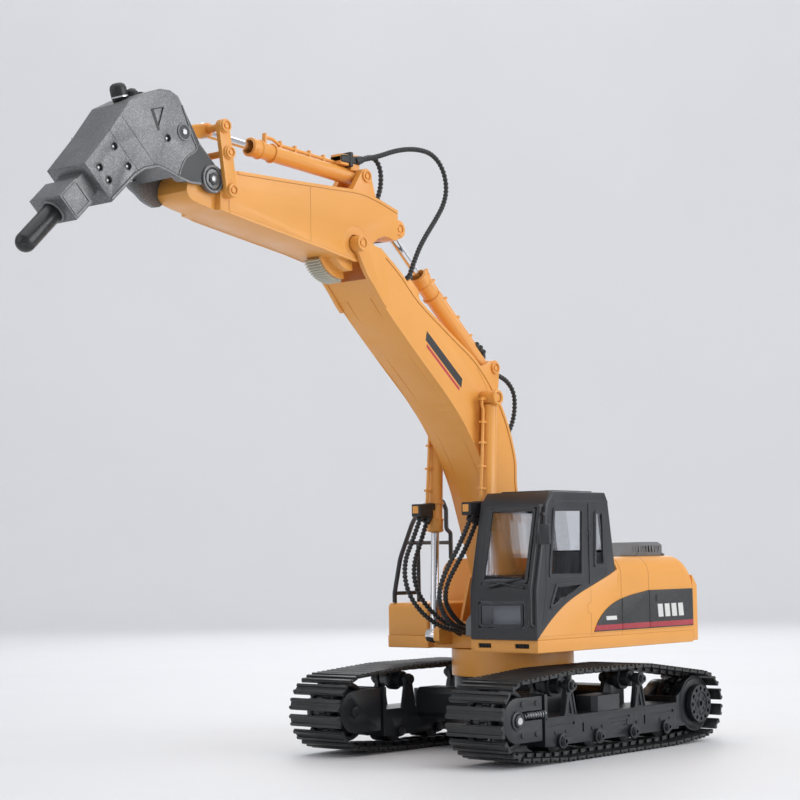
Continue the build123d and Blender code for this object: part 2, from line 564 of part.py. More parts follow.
def boom_shell():
    """The hollow boom with its fork, raised rims, clevis and ram bosses."""
    body = Pos(0, BOOM_Y - BOOM_HALF, 0) * extrude(boom_face(), amount=2 * BOOM_HALF, dir=(0, 1, 0))
    body -= plate([(-3, 132), (8, 186), (10, 212), (24, 243), (48, 273), (82, 295), (114, 314),
                   (134, 331), (145, 339), (150, 319), (138, 308), (110, 282), (77, 254), (55, 230),
                   (34, 198), (22, 167), (10, 132)], BOOM_Y - BOOM_HALF + 2.4, BOOM_Y + BOOM_HALF - 2.4)
    body -= disc(ELBOW, EAR_CUT, BOOM_Y - ARM_HALF - 0.5, BOOM_Y + ARM_HALF + 0.5)
    cheek = [(151, 348.2), (157, 351), (163, 352.7), (169, 354.4), (174, 356.7), (177.3, 352), (182, 350),
             (177.6, 344.9), (173.6, 338), (169.8, 331.8), (161.5, 323), (155, 315.2), (150, 310.5),
             (146.5, 316)]
    for side in (1, -1):
        body += plate(cheek, *span_y(side, BOOM_HALF - 0.6, FORK_HALF))
        body += disc(ELBOW, BOSS_R, *span_y(side, NARROW + 0.5, 24.2))
        clevis = plate([(13.2, 280), (18.6, 278), (23, 282.1), (40, 276), (34, 262), (20, 247.5), (15, 262)],
                       *span_y(side, 7.3, 12))
        body += clevis + disc(STICK_RAM_BASE, 5.8, *span_y(side, 7.3, 12))
        body += disc(BOOM_RAM_TOP, 3, *span_y(side, BOOM_HALF - 1, 32.4))
    body += disc(STICK_RAM_BASE, 3, BOOM_Y - 12, BOOM_Y + 12)
    body += plate([(109, 316), (109, 326), (118, 334), (125, 329)], -1, 7)
    body += nipple(ELBOW_HOSE[-1], ELBOW_HOSE[-2])
    body += bar(BACK_HOSE[-1], (9, BOOM_Y, 207.3), NIPPLE_R)
    body += disc(ELBOW, 4, BOOM_Y - 20, BOOM_Y + 20)
    return body - disc(FOOT, 4 + FIT, BOOM_Y - 30, BOOM_Y + 30)


def barrel(base, end, y, radius, bore, length, eye_half):
    """A ram's tube with the eye at its closed end; its rod enters the open end."""
    tube = ram_tube(base, end, y, radius, 5, length)
    tube += ram_tube(base, end, y, radius + 0.6, length - 7, length)
    tube += disc(base, radius, y - eye_half, y + eye_half)
    tube -= ram_tube(base, end, y, bore, 11, length + 1)
    return tube - disc(base, 3 + FIT, y - 20, y + 20)


def ram_rod(eye, base, y, radius, length, eye_r, pin_r, eye_half):
    """A ram's rod with its eye."""
    rod = ram_tube(eye, base, y, radius, 3, length) + disc(eye, eye_r, y - eye_half, y + eye_half)
    return rod - disc(eye, pin_r + FIT, y - 20, y + 20)


def boom_ram_barrel(side, outer, inner, front):
    """One boom ram's tube with the block that its two hoses hang from."""
    y = BOOM_Y + side * BOOM_RAM_Y
    ram = barrel(BOOM_RAM_TOP, BOOM_RAM_BASE, y, 5.3, 4.8, 94, 5.2)
    ram += block(50.6, front, y - 3.5, y + 3.5, 169.5, 177)
    return ram + nipple(outer[0], outer[1]) + nipple(inner[0], inner[1])


def stick_ram_barrel():
    """The stick ram's tube with the stub for the hose behind the boom."""
    return barrel(STICK_RAM_BASE, STICK_RAM_END, BOOM_Y, 6, 5.4, 94.6, 7) + nipple(*BACK_HOSE[:2])


def bucket_ram_barrel():
    """The bucket ram's tube with the block that two hoses leave from."""
    ram = barrel(BUCKET_RAM_BASE, LINK_TOP, BOOM_Y, 5.5, 4.9, 101, 6.3)
    ram += plate([(159, 406), (167.5, 406), (167.5, 408.6), (178, 409), (178, 416), (159, 417)], -12, -3)
    return ram + nipple(*ELBOW_HOSE[:2]) + nipple(*TAIL_HOSE[:2])


def arm_shell():
    """The arm with its narrowed nose, tail lugs, top bracket and elbow bore."""
    y0, y1 = BOOM_Y - ARM_HALF, BOOM_Y + ARM_HALF
    outline = [(133, 359.5), (138.8, 359.4), (142.3, 360.5), (147, 361), (153.5, 358.6), (158.5, 355),
               (163, 349.5), (168, 344.5), (173, 341), (180, 340.4), (194.5, 342.6), (209, 345.3),
               (231.5, 348.6), (277, 355.4), (295.1, 358.2), (306.3, 360.2), (316.2, 362),
               (322.7, 363.4), (326.2, 365.6), (328, 369), (327.6, 374), (325, 379), (319.5, 383.3),
               (312, 384.8), (300, 386), (288, 386.2), (240.6, 387.2), (177.1, 389.1), (166, 388.5),
               (151.6, 385.5), (132.8, 380.2)]
    arm = plate(outline, y0, y1)
    hollow = [(171, 349), (185, 346), (284, 361), (292, 366), (292, 380), (240, 382), (180, 384),
              (171, 383)]
    for front, back in ((218, 171), (296, 221)):
        window = block(back, front, y0 + 2.4, y1 - 2.4, 330, 400)
        arm -= plate(hollow, y0 + 2.4, y1 - 2.4) & window
    for side in (1, -1):
        pocket = span_y(side, 13.6, 19)
        arm -= disc(ELBOW, 12.3, *span_y(side, NARROW, 19))
        arm -= disc(NOSE, 8.9, *pocket)
        arm -= plate([(303.4, 340), (330, 340), (330, 395), (303.4, 395)], *pocket)
        arm += disc(LINK_FOOT, 4.6, *span_y(side, 10, 19.2))
        arm -= disc(NOSE, 8.9, *pocket)
        arm += disc(LINK_FOOT, 2.5, *span_y(side, 10, 23.5))
        arm += strap((142, 371), STICK_RAM_END, 6.4, *span_y(side, 4.9, 11.5))
        arm += plate([(147, 384), (152.8, 403), (157.9, 402.2), (162.4, 405), (174, 388)],
                     *span_y(side, 6.6, 11.5))
        arm += disc(BUCKET_RAM_BASE, 5.3, *span_y(side, 6.6, 11.5))
    arm -= plate([(120, 350), (136, 352), (143, 371), (137, 380), (120, 386)], BOOM_Y - 4.9, BOOM_Y + 4.9)
    arm += disc(STICK_RAM_END, 3, BOOM_Y - 11.5, BOOM_Y + 11.5)
    arm += elbow_sector(17.7, -4.2, 4.3) + elbow_sector(22.4, -6.2, -4.2)
    arm += nipple(TAIL_HOSE[-1], TAIL_HOSE[-2])
    arm += disc(BUCKET_RAM_BASE, 3, BOOM_Y - 11.5, BOOM_Y + 11.5)
    arm -= disc(ELBOW, 4 + FIT, BOOM_Y - 30, BOOM_Y + 30)
    return arm - disc(NOSE, 3 + FIT, BOOM_Y - 30, BOOM_Y + 30)


def elbow_ray(radius, degrees):
    """The (X, Z) point at a radius and angle from the elbow's axis."""
    turn = math.radians(degrees)
    return (ELBOW[0] + radius * math.cos(turn), ELBOW[1] + radius * math.sin(turn))


def elbow_sector(radius, y0, y1):
    """One smooth flange of the arm beside the toothed sector."""
    first, last = -96, -24
    rim = [elbow_ray(radius, first + (last - first) * k / 24) for k in range(25)]
    return plate([elbow_ray(8, first), *rim, elbow_ray(8, last)], y0, y1)


def elbow_gear():
    """The pale toothed sector under the arm at the elbow."""
    first, last = -96, -26
    rim = []
    for k in range(14):
        d = first + (last - first) * k / 14
        rim += [elbow_ray(21.8, d), elbow_ray(24.6, d + 1.3)]
        rim += [elbow_ray(24.6, d + 2.6), elbow_ray(21.8, d + 3.9)]
    sector = plate([elbow_ray(8, first), *rim, elbow_ray(8, last)], -19.5, -6.4)
    keep_out = plate([(150, 400), (150, 340.9), (173, 340.9), (180, 340.3), (194.5, 342.5), (209, 345.2),
                      (231.5, 348.5), (240, 400)], BOOM_Y - 20, BOOM_Y + 20)
    return sector - keep_out


def guide_links():
    """The two links outside the arm, tied by two cross pins."""
    def half(side):
        y0, y1 = span_y(side, 19.6, 22.8)
        link = strap(LINK_FOOT, LINK_TOP, 4.6, y0, y1) - disc(LINK_FOOT, 2.5 + FIT, y0 - 1, y1 + 1)
        for at in (LINK_TOP, LINK_MIDDLE):
            link += disc(at, 4.6, *span_y(side, 22.8, 24.2))
        return link
    links = both_sides(half)
    links += disc(LINK_MIDDLE, 2.2, BOOM_Y - 22, BOOM_Y + 22)
    return links + disc(LINK_TOP, 2.5, BOOM_Y - 22, BOOM_Y + 22)


def power_link():
    """The short pair of links from the guide links to the breaker, open at the knee."""
    def half(side):
        y0, y1 = span_y(side, 4.6, 8.6)
        link = strap(LINK_TOP, KNEE, 4.4, y0, y1) + disc(KNEE, 6.6, y0, y1)
        link -= disc(LINK_TOP, 2.5 + FIT, y0 - 1, y1 + 1)
        return link - disc(KNEE, 4.2, y0 - 1, y1 + 1)
    return both_sides(half)


# ---------------------------------------------------------------- breaker
def chisel_frame(along, across):
    """The (X, Z) point at distances along and across the chisel from its mouth."""
    return (CHISEL_MOUTH[0] + CHISEL_AXIS[0] * along - CHISEL_AXIS[1] * across,
            CHISEL_MOUTH[1] + CHISEL_AXIS[1] * along + CHISEL_AXIS[0] * across)


def breaker_housing():
    """The breaker's case: two side plates, a closed body, its nose block and pins."""
    y0, y1 = BOOM_Y - BREAKER_HALF, BOOM_Y + BREAKER_HALF
    outline = [(317.5, 374.5), (337.4, 373), (347.3, 377.9), (355.5, 379.5), (366, 376.4), (374.1, 370.4),
               (392.2, 352.8), (412.8, 373.4), (393.6, 396), (377.9, 416.9), (364.3, 424.2),
               (353.7, 428.2), (345.4, 428.7), (338.7, 426.2), (334.7, 420.6), (320.5, 399.5),
               (303.5, 384)]
    case = plate(outline, y0, y1) + disc(NOSE, 8.3, y0, y1)
    ridge = [e for e in case.edges().filter_by(Axis.Y) if e.center().Z > 395 and e.center().X > 350]
    case = fillet(ridge, 3)
    gap = BREAKER_HALF - BREAKER_WALL
    throat = [(285, 345), (341.5, 345), (341.5, 377.5), (352, 388), (352, 414), (342, 420), (332, 424),
              (285, 424)]
    case -= plate(throat, BOOM_Y - gap, BOOM_Y + gap)
    chamber = [(356, 384.5), (369, 381), (380, 373), (391.5, 361), (404, 373.5), (390, 392),
               (374, 412.5), (356, 420)]
    case -= plate(chamber, BOOM_Y - gap, BOOM_Y + gap)
    nose = [chisel_frame(*p) for p in ((-17.5, -8.6), (-0.4, -8.6), (-0.4, 9.6), (-17.5, 9.6))]
    neck = [chisel_frame(*p) for p in ((-29, -7.6), (-17, -7.6), (-17, 7.6), (-29, 7.6))]
    case += plate(nose, BOOM_Y - 14, BOOM_Y + 14) + plate(neck, BOOM_Y - 11, BOOM_Y + 11)
    lobe = [(352, 374), (348.6, 371), (343.6, 368.3), (339.2, 365), (335.3, 363.3), (329.6, 361.8),
            (325.7, 362.5), (320, 366.5), (317.5, 374.5), (337, 380)]
    case += plate(lobe, y0, y0 + BREAKER_WALL)
    case -= bar(chisel_point(-22), chisel_point(2), CHISEL_R + FIT)
    for side in (1, -1):
        face = span_y(side, BREAKER_HALF, BREAKER_HALF + 1)
        for at in ((390.1, 386.9), (401.4, 372.5), (379.2, 376.4), (394.4, 365.8), (347.2, 398.5)):
            case -= disc(at, 2.4, *span_y(side, BREAKER_HALF - 2, BREAKER_HALF + 1))
        mark = plate([(361, 414.2), (350.4, 417.3), (355.4, 401.6)],
                     *span_y(side, BREAKER_HALF - 1, BREAKER_HALF + 1))
        case -= mark
        case += disc(NOSE, 6.2, *face)
    case += disc(KNEE, 3, BOOM_Y - gap - 1, BOOM_Y + gap + 1)
    return case + disc(NOSE, 3, BOOM_Y - gap - 1, BOOM_Y + gap + 1)


def chisel_point(along):
    """The 3-D point at a distance along the chisel from its mouth."""
    x, z = chisel_frame(along, 0)
    return (x, BOOM_Y, z)


def chisel():
    """The round-nosed chisel."""
    end = chisel_point(CHISEL_OUT - CHISEL_R)
    return bar(chisel_point(-17), end, CHISEL_R) + Pos(*end) * Sphere(CHISEL_R)


# ---------------------------------------------------------------- write the pieces
save(chassis(), "chassis")
save(post(0, 0, PEDESTAL_R, CHASSIS_TOP, PEDESTAL_TOP) - post(0, 0, SLEW_R + FIT, 59, 80), "slew_pedestal")
save_pair(track(), "track")
save_pair(track_frame(), "track_frame")
save_pair(sprocket(), "sprocket")
save_pair(idler(), "idler")
save_pair(idler_yoke(), "idler_yoke")
for number, x in enumerate(ROLLER_X, 1):
    save_pair(wheel_on_axle((x, ROLLER_Z), ROLLER_R, 0, 5.0), f"roller_{number}")
for number, x in enumerate(CARRIER_X, 1):
    save_pair(wheel_on_axle((x, CARRIER_Z), CARRIER_R, 8.0, 4.4), f"carrier_{number}")
drive = final_drive()
save(Compound([drive, mirror(drive, about=Plane.XZ)]), "final_drives")
spring = track_spring()
save(Compound([spring, mirror(spring, about=Plane.XZ)]), "track_springs")

save(deck(), "deck")
save(engine_cover(), "engine_cover")
save(counterweight(), "counterweight")
save(side_cover(), "side_cover")
save(side_trim(), "side_trim")
save(hood(), "engine_hood")
save(side_box(), "side_box")
save(boom_bracket(), "boom_bracket")
save(cab_shell(), "cab_shell")
save(cab_glass(), "cab_glass")
save(cab_seat(), "cab_seat")
save(cab_trim(), "cab_trim")
save(handrail(), "handrail")
save(electronics(), "electronics")

save(boom_shell(), "boom_shell")
save(elbow_gear(), "elbow_gear")
save(Compound([boom_ram_barrel(-1, RIGHT_OUTER_HOSE, RIGHT_INNER_HOSE, 67),
               boom_ram_barrel(1, LEFT_OUTER_HOSE, LEFT_INNER_HOSE, 71)]), "boom_ram_barrels")
save(Compound([ram_rod(BOOM_RAM_BASE, BOOM_RAM_TOP, BOOM_Y + s * BOOM_RAM_Y, 3, 98, 5.4, 2.5, 4)
               for s in (1, -1)]), "boom_ram_rods")
save(stick_ram_barrel(), "stick_ram_barrel")
save(ram_rod(STICK_RAM_END, STICK_RAM_BASE, BOOM_Y, 2.9, 90, 5.6, 3, 4.6), "stick_ram_rod")
save(arm_shell(), "arm_shell")
save(bucket_ram_barrel(), "bucket_ram_barrel")
save(ram_rod(LINK_TOP, BUCKET_RAM_BASE, BOOM_Y, 3, 82, 5, 2.5, 4.3), "bucket_ram_rod")
save(guide_links(), "guide_links")
save(power_link(), "power_link")
save(breaker_housing(), "breaker_housing")
save(chisel(), "chisel")

for route, name in ((ELBOW_HOSE, "hose_elbow"), (TAIL_HOSE, "hose_tail"), (BACK_HOSE, "hose_back"),
                    (RIGHT_OUTER_HOSE, "hose_right_outer"), (RIGHT_INNER_HOSE, "hose_right_inner"),
                    (LEFT_OUTER_HOSE, "hose_left_outer"), (LEFT_INNER_HOSE, "hose_left_inner")):
    hose(route, name)
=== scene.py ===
import json
import math

import bmesh
import bpy
from mathutils import Matrix, Vector


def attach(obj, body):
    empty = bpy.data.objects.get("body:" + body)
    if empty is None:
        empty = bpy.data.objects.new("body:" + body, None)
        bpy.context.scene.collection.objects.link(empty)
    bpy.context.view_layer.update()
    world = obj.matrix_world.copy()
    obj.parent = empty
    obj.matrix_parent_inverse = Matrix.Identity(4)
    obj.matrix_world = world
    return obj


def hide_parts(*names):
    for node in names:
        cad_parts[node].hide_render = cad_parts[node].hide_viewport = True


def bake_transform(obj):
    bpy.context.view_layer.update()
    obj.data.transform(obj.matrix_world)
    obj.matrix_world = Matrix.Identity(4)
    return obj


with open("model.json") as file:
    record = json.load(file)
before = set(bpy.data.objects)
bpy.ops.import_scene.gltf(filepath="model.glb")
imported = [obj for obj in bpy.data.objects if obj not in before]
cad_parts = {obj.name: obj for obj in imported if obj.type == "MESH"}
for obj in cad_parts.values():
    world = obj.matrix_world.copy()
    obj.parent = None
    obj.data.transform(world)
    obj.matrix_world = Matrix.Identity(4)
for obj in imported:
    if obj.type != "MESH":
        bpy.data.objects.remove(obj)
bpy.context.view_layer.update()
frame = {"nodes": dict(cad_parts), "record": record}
NODES = frame["nodes"]

MM = 0.001

# The Y of the boom's middle plane, and the (X, Z) of the boom group's pins, in millimetres.
BOOM_Y = -9.2
FOOT, ELBOW = (0.5, 119.0), (177.3, 352.0)
BOOM_RAM_BASE, BOOM_RAM_TOP = (49.2, 82.6), (42.1, 253.7)
STICK_RAM_BASE, STICK_RAM_END = (18.6, 278.0), (124.0, 369.1)
BUCKET_RAM_BASE, LINK_TOP = (157.9, 402.2), (304.3, 412.0)
LINK_MIDDLE, LINK_FOOT = (300.5, 395.6), (297.7, 371.8)
NOSE, KNEE = (309.8, 378.1), (333.9, 404.3)
CHISEL_MOUTH = (422.2, 345.4)

# How far the boom rams and the side faces lie from that plane.
BOOM_RAM_OUT = 25
BOOM_FACE, ARM_FACE, BREAKER_FACE, NOSE_BLOCK_FACE = 19.2, 18, 17.5, 14

# The Y of the house's side, and the Z of its cover's top.
HOUSE_FACE, COVER_TOP = 82, 138

# The Y of the roller frames' outer faces, and the idler's axle.
TRACK_FACE = 88
IDLER_X, IDLER_Z = 112, 30.5


def add_object(name, data):
    thing = bpy.data.objects.new(name, data)
    bpy.context.scene.collection.objects.link(thing)
    return thing


# ---------------- camera
def add_camera():
    """The camera at the photograph's viewing angle."""
    azimuth, elevation, roll = 2.28301476, -0.0852639759, -0.0145509316
    back = Vector((math.sin(azimuth) * math.cos(elevation), -math.cos(azimuth) * math.cos(elevation),
                   math.sin(elevation)))
    right = Vector((0, 0, 1)).cross(back).normalized()
    up = back.cross(right)
    rolled_right = right * math.cos(roll) + up * math.sin(roll)
    rolled_up = up * math.cos(roll) - right * math.sin(roll)
    camera = add_object("camera", bpy.data.cameras.new("camera"))
    turn = Matrix((rolled_right, rolled_up, back)).transposed()
    place = Vector((1.13775, 0.87617, 0.14110))
    camera.matrix_world = Matrix.Translation(place) @ turn.to_4x4()
    camera.data.lens = 86.716
    camera.data.sensor_width = 36
    camera.data.shift_y = -0.01168
    camera.data.clip_start = 0.01
    bpy.context.scene.camera = camera


add_camera()


# ---------------- materials
class Nodes:
    """Small helper that adds and links shader nodes."""

    def __init__(self, name):
        self.material = bpy.data.materials.new(name)
        self.material.use_nodes = True
        self.tree = self.material.node_tree
        self.shader = self.tree.nodes["Principled BSDF"]

    def add(self, kind, inputs=None, **settings):
        node = self.tree.nodes.new(kind)
        for key, value in settings.items():
            setattr(node, key, value)
        for key, value in (inputs or {}).items():
            self.put(node.inputs[key], value)
        return node

    def put(self, socket, value):
        """Links a socket or sets its own value; a color gets full alpha."""
        if isinstance(value, bpy.types.NodeSocket):
            self.tree.links.new(value, socket)
        else:
            socket.default_value = (*value, 1.0) if socket.type == "RGBA" else value

    def set(self, name, value):
        self.put(self.shader.inputs[name], value)

    def noise(self, scale, detail=3.0, distortion=0.0):
        place = self.add("ShaderNodeTexCoord").outputs["Object"]
        inputs = {"Vector": place, "Scale": scale, "Detail": detail, "Distortion": distortion}
        return self.add("ShaderNodeTexNoise", inputs).outputs["Fac"]

    def span(self, value, low, high, out_low, out_high):
        inputs = {"Value": value, "From Min": low, "From Max": high, "To Min": out_low, "To Max": out_high}
        return self.add("ShaderNodeMapRange", inputs).outputs["Result"]

    def uneven(self, scale, low, high, detail=3.0):
        """Noise spread between two values."""
        return self.span(self.noise(scale, detail), 0.3, 0.7, low, high)

    def mix(self, factor, a, b):
        node = self.add("ShaderNodeMix", {"Factor": factor, "A": a, "B": b}, data_type="RGBA")
        return [o for o in node.outputs if o.type == "RGBA"][0]

    def math(self, operation, a, b):
        return self.add("ShaderNodeMath", {0: a, 1: b}, operation=operation).outputs["Value"]

    def bump(self, height, strength, distance):
        inputs = {"Height": height, "Strength": strength, "Distance": distance}
        self.set("Normal", self.add("ShaderNodeBump", inputs).outputs["Normal"])


def edge_share(nodes, radius):
    """Near 1 on convex and concave edges, 0 on flat faces, from the bevelled normal."""
    bevel = nodes.add("ShaderNodeBevel", {"Radius": radius}, samples=4).outputs["Normal"]
    face = nodes.add("ShaderNodeNewGeometry").outputs["Normal"]
    dot = nodes.add("ShaderNodeVectorMath", {0: bevel, 1: face}, operation="DOT_PRODUCT").outputs["Value"]
    return nodes.span(dot, 0.995, 0.85, 0.0, 1.0)


def moulded(name, color, rough, grain, shade, edge=None, coat=0.0):
    """Moulded plastic or paint: fine grain, slow shade changes, uneven gloss and a patchy painted highlight
    on edges and creases.
    """
    n = Nodes(name)
    dark = tuple(c * (1 - shade) for c in color)
    light = tuple(min(1.0, c * (1 + shade * 0.6)) for c in color)
    slow = n.span(n.noise(9, 2.0, 0.4), 0.35, 0.65, 0.0, 1.0)
    base = n.mix(slow, dark, light)
    speck = n.span(n.noise(340, 4.0), 0.60, 0.74, 0.0, 0.22)
    base = n.mix(speck, base, tuple(c * 0.84 for c in color))
    # painted highlight: edges and creases are mixed towards a lighter edge colour, made patchy by noise
    if edge:
        base = n.mix(n.math("MULTIPLY", edge_share(n, 0.0005), n.uneven(70, 0.25, 1.0)), base, edge)
    n.set("Base Color", base)
    n.set("Roughness", n.uneven(38, rough - 0.07, rough + 0.07, 4.0))
    n.set("Coat Weight", coat)
    n.set("Coat Roughness", 0.22)
    scale, strength = grain
    n.bump(n.noise(scale, 5.0), strength, 0.0004)
    return n.material


def trim_material(name):
    """The dark side panel with its plain red stripe near the lower edge."""
    stripe_low, stripe_high = 0.0861, 0.0898
    n = Nodes(name)
    place = n.add("ShaderNodeTexCoord").outputs["Object"]
    height = n.add("ShaderNodeSeparateXYZ", {"Vector": place}).outputs["Z"]
    above, below = n.math("GREATER_THAN", height, stripe_low), n.math("LESS_THAN", height, stripe_high)
    stripe = n.math("MULTIPLY", above, below)
    grain = n.noise(420, 4.0)
    black = n.mix(n.span(grain, 0.35, 0.65, 0, 1), (0.020, 0.021, 0.023), (0.034, 0.035, 0.038))
    red = n.mix(n.span(grain, 0.35, 0.65, 0, 1), (0.36, 0.030, 0.045), (0.44, 0.042, 0.058))
    n.set("Base Color", n.mix(stripe, black, red))
    n.set("Roughness", n.uneven(60, 0.38, 0.52))
    n.bump(grain, 0.04, 0.0003)
    return n.material


def glass_material(name):
    """Thin clear plastic, with faint smears that change its gloss."""
    n = Nodes(name)
    n.set("Base Color", n.mix(n.uneven(30, 0, 1), (0.60, 0.63, 0.68), (0.70, 0.73, 0.78)))
    n.set("Roughness", n.uneven(55, 0.02, 0.09, 4.0))
    n.set("IOR", 1.12)
    n.set("Transmission Weight", 1.0)
    n.set("Alpha", 0.38)
    n.set("Specular IOR Level", 0.6)
    return n.material


def chrome_material(name, color, rough):
    """Plated steel with a fine grain and slight tarnish."""
    n = Nodes(name)
    n.set("Metallic", 1.0)
    n.set("Base Color", n.mix(n.uneven(26, 0, 1), tuple(c * 0.86 for c in color), color))
    n.set("Roughness", n.uneven(240, rough * 0.7, rough * 1.5, 5.0))
    n.bump(n.noise(700), 0.03, 0.0002)
    return n.material


def metallic_paint(name):
    """Silver grey plastic with fine metal flakes in it, and painted shade darkening its edges and creases.
    """
    n = Nodes(name)
    place = n.add("ShaderNodeTexCoord").outputs["Object"]
    cells = n.add("ShaderNodeTexVoronoi", {"Vector": place, "Scale": 1900.0}).outputs["Color"]
    level = n.add("ShaderNodeSeparateColor", {"Color": cells}).outputs["Red"]
    flake = n.span(level, 0.55, 1.0, 0.0, 0.5)
    slow = n.span(n.noise(8, 2.0), 0.35, 0.65, 0.0, 1.0)
    base = n.mix(slow, (0.135, 0.137, 0.142), (0.165, 0.167, 0.172))
    base = n.mix(flake, base, (0.36, 0.365, 0.375))
    # painted shade: sharp edges and creases are darkened to near black
    n.set("Base Color", n.mix(edge_share(n, 0.0005), base, (0.045, 0.046, 0.048)))
    n.set("Metallic", 0.45)
    n.set("Roughness", n.uneven(60, 0.34, 0.44, 4.0))
    n.bump(n.noise(1300, 2.0), 0.10, 0.0003)
    return n.material


# For each slot: color, roughness, (grain scale, strength), shade changes, painted edge highlight color,
# coat.
PLASTICS = {
    "orange_plastic": ((0.81, 0.36, 0.070), 0.36, (700, 0.035), 0.04, (0.90, 0.50, 0.17), 0.10),
    "black_plastic": ((0.025, 0.027, 0.031), 0.33, (900, 0.04), 0.15, (0.15, 0.16, 0.17)),
    "frame_plastic": ((0.018, 0.021, 0.025), 0.36, (900, 0.08), 0.18, (0.10, 0.105, 0.11)),
    "track_rubber": ((0.019, 0.020, 0.021), 0.42, (600, 0.12), 0.22, (0.09, 0.09, 0.09)),
    "grey_plastic": ((0.15, 0.155, 0.16), 0.45, (800, 0.08), 0.10, (0.2, 0.2, 0.21)),
    "seat_plastic": ((0.15, 0.155, 0.17), 0.6, (500, 0.2), 0.12),
    "inner_parts": ((0.05, 0.10, 0.07), 0.6, (500, 0.1), 0.2),
    "gear_plastic": ((0.62, 0.60, 0.50), 0.45, (600, 0.06), 0.08),
    "hose_rubber": ((0.017, 0.018, 0.019), 0.38, (1400, 0.10), 0.2, (0.045, 0.046, 0.048)),
    "chisel_rubber": ((0.016, 0.017, 0.018), 0.30, (500, 0.05), 0.2),
}
SLOT_MATERIAL = {slot: moulded(slot, *look) for slot, look in PLASTICS.items()}
SLOT_MATERIAL["cast_grey"] = metallic_paint("cast_grey")
SLOT_MATERIAL["clear_window"] = glass_material("clear_window")
SLOT_MATERIAL["rod_steel"] = chrome_material("rod_steel", (0.80, 0.80, 0.82), 0.13)
SLOT_MATERIAL["spring_steel"] = chrome_material("spring_steel", (0.42, 0.43, 0.45), 0.32)
TRIM = trim_material("side_trim")
DECAL = moulded("decal_black", (0.020, 0.020, 0.022), 0.42, (900, 0.03), 0.1)
DECAL_RED = moulded("decal_red", (0.50, 0.035, 0.045), 0.42, (900, 0.03), 0.08)
SEAM = moulded("orange_seam", (0.42, 0.165, 0.035), 0.6, (700, 0.08), 0.1)
BLACK_SEAM = moulded("black_seam", (0.006, 0.006, 0.007), 0.7, (700, 0.08), 0.1)
# painted light: the cab lining's grey is lifted pale to stand in for light that can't reach inside the cab
LINING_PAINTED_LIGHT = moulded("lining_grey_painted_light", (0.42, 0.43, 0.47), 0.6, (500, 0.2), 0.12)
MARK = moulded("mark_pale", (0.72, 0.72, 0.70), 0.45, (900, 0.03), 0.05)


# ---------------- mesh helpers
def finish_piece(name, bm, body, slot, material=None, bevel=0.0, smooth=True, angle=35):
    """Turns a bmesh in millimetres into a piece that rides on a body."""
    bmesh.ops.recalc_face_normals(bm, faces=bm.faces)
    mesh = bpy.data.meshes.new(name)
    bmesh.ops.scale(bm, vec=(MM, MM, MM), verts=bm.verts)
    bm.to_mesh(mesh)
    bm.free()
    piece = add_object(name, mesh)
    mesh.materials.append(material or SLOT_MATERIAL[slot])
    if smooth:
        mesh.shade_smooth()
        mesh.set_sharp_from_angle(angle=math.radians(angle))
    if bevel:
        edge = piece.modifiers.new("edges", "BEVEL")
        edge.width = bevel * MM
        edge.segments = 2
        edge.limit_method = "ANGLE"
        edge.angle_limit = math.radians(30)
        edge.harden_normals = True
    if body:
        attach(piece, body)
    return piece


def skin_rings(bm, rings):
    """Quads between each ring of verts and the next."""
    for a, b in zip(rings, rings[1:]):
        for k in range(len(a)):
            j = (k + 1) % len(a)
            bm.faces.new((a[k], a[j], b[j], b[k]))


def add_prism(bm, points, y0, y1):
    """An outline of (X, Z) points between two Y values."""
    rings = [[bm.verts.new((x, y, z)) for x, z in points] for y in (y0, y1)]
    skin_rings(bm, rings)
    bm.faces.new(rings[0][::-1])
    bm.faces.new(rings[1])


def add_block(bm, x0, x1, y0, y1, z0, z1):
    add_prism(bm, [(x0, z0), (x1, z0), (x1, z1), (x0, z1)], y0, y1)


def ring_of(bm, middle, side, up, radius, sides, start=0.0):
    """A circle of verts."""
    turns = [start + 2 * math.pi * k / sides for k in range(sides)]
    return [bm.verts.new(middle + (side * math.cos(t) + up * math.sin(t)) * radius) for t in turns]


def axis_frame(axis):
    """A unit axis with two directions square to it."""
    axis = Vector(axis).normalized()
    side = axis.orthogonal().normalized()
    return axis, side, axis.cross(side)


def at(place, y):
    """An (X, Z) place at a Y."""
    return (place[0], y, place[1])


def add_turned(bm, centre, axis, profile, sides=40, start=0.0):
    """A turned form: (radius, distance along axis) steps about an axis; radius 0 makes a pole."""
    axis, side, up = axis_frame(axis)
    rings = []
    for radius, along in profile:
        middle = Vector(centre) + axis * along
        if radius:
            rings.append(ring_of(bm, middle, side, up, radius, sides, start))
        else:
            rings.append([bm.verts.new(middle)])
    for a, b in zip(rings, rings[1:]):
        for k in range(sides):
            j = (k + 1) % sides
            quad = [a[k % len(a)], a[j % len(a)], b[j % len(b)], b[k % len(b)]]
            bm.faces.new(list(dict.fromkeys(quad)))
    for ring in (rings[0], rings[-1]):
        if len(ring) > 1:
            bm.faces.new(ring)


def add_loop(bm, centre, axis, section, sides=40):
    """A ring: a closed (radius, along) section swept round an axis."""
    axis, side, up = axis_frame(axis)
    rings = [ring_of(bm, Vector(centre) + axis * along, side, up, radius, sides)
             for radius, along in section]
    skin_rings(bm, rings + rings[:1])


def rounded(points, radius, steps=6):
    """A closed 2-D outline with its corners rounded."""
    out = []
    count = len(points)
    for i, p in enumerate(points):
        a, b, c = Vector(points[i - 1]), Vector(p), Vector(points[(i + 1) % count])
        u, v = (a - b).normalized(), (c - b).normalized()
        half = u.angle(v) / 2
        reach = min(radius / math.tan(half), (a - b).length * 0.48, (c - b).length * 0.48)
        size = reach * math.tan(half)
        centre = b + (u + v).normalized() * (size / math.sin(half))
        start, end = b + u * reach - centre, b + v * reach - centre
        for k in range(steps + 1):
            out.append(tuple(centre + start.slerp(end, k / steps)))
    return out


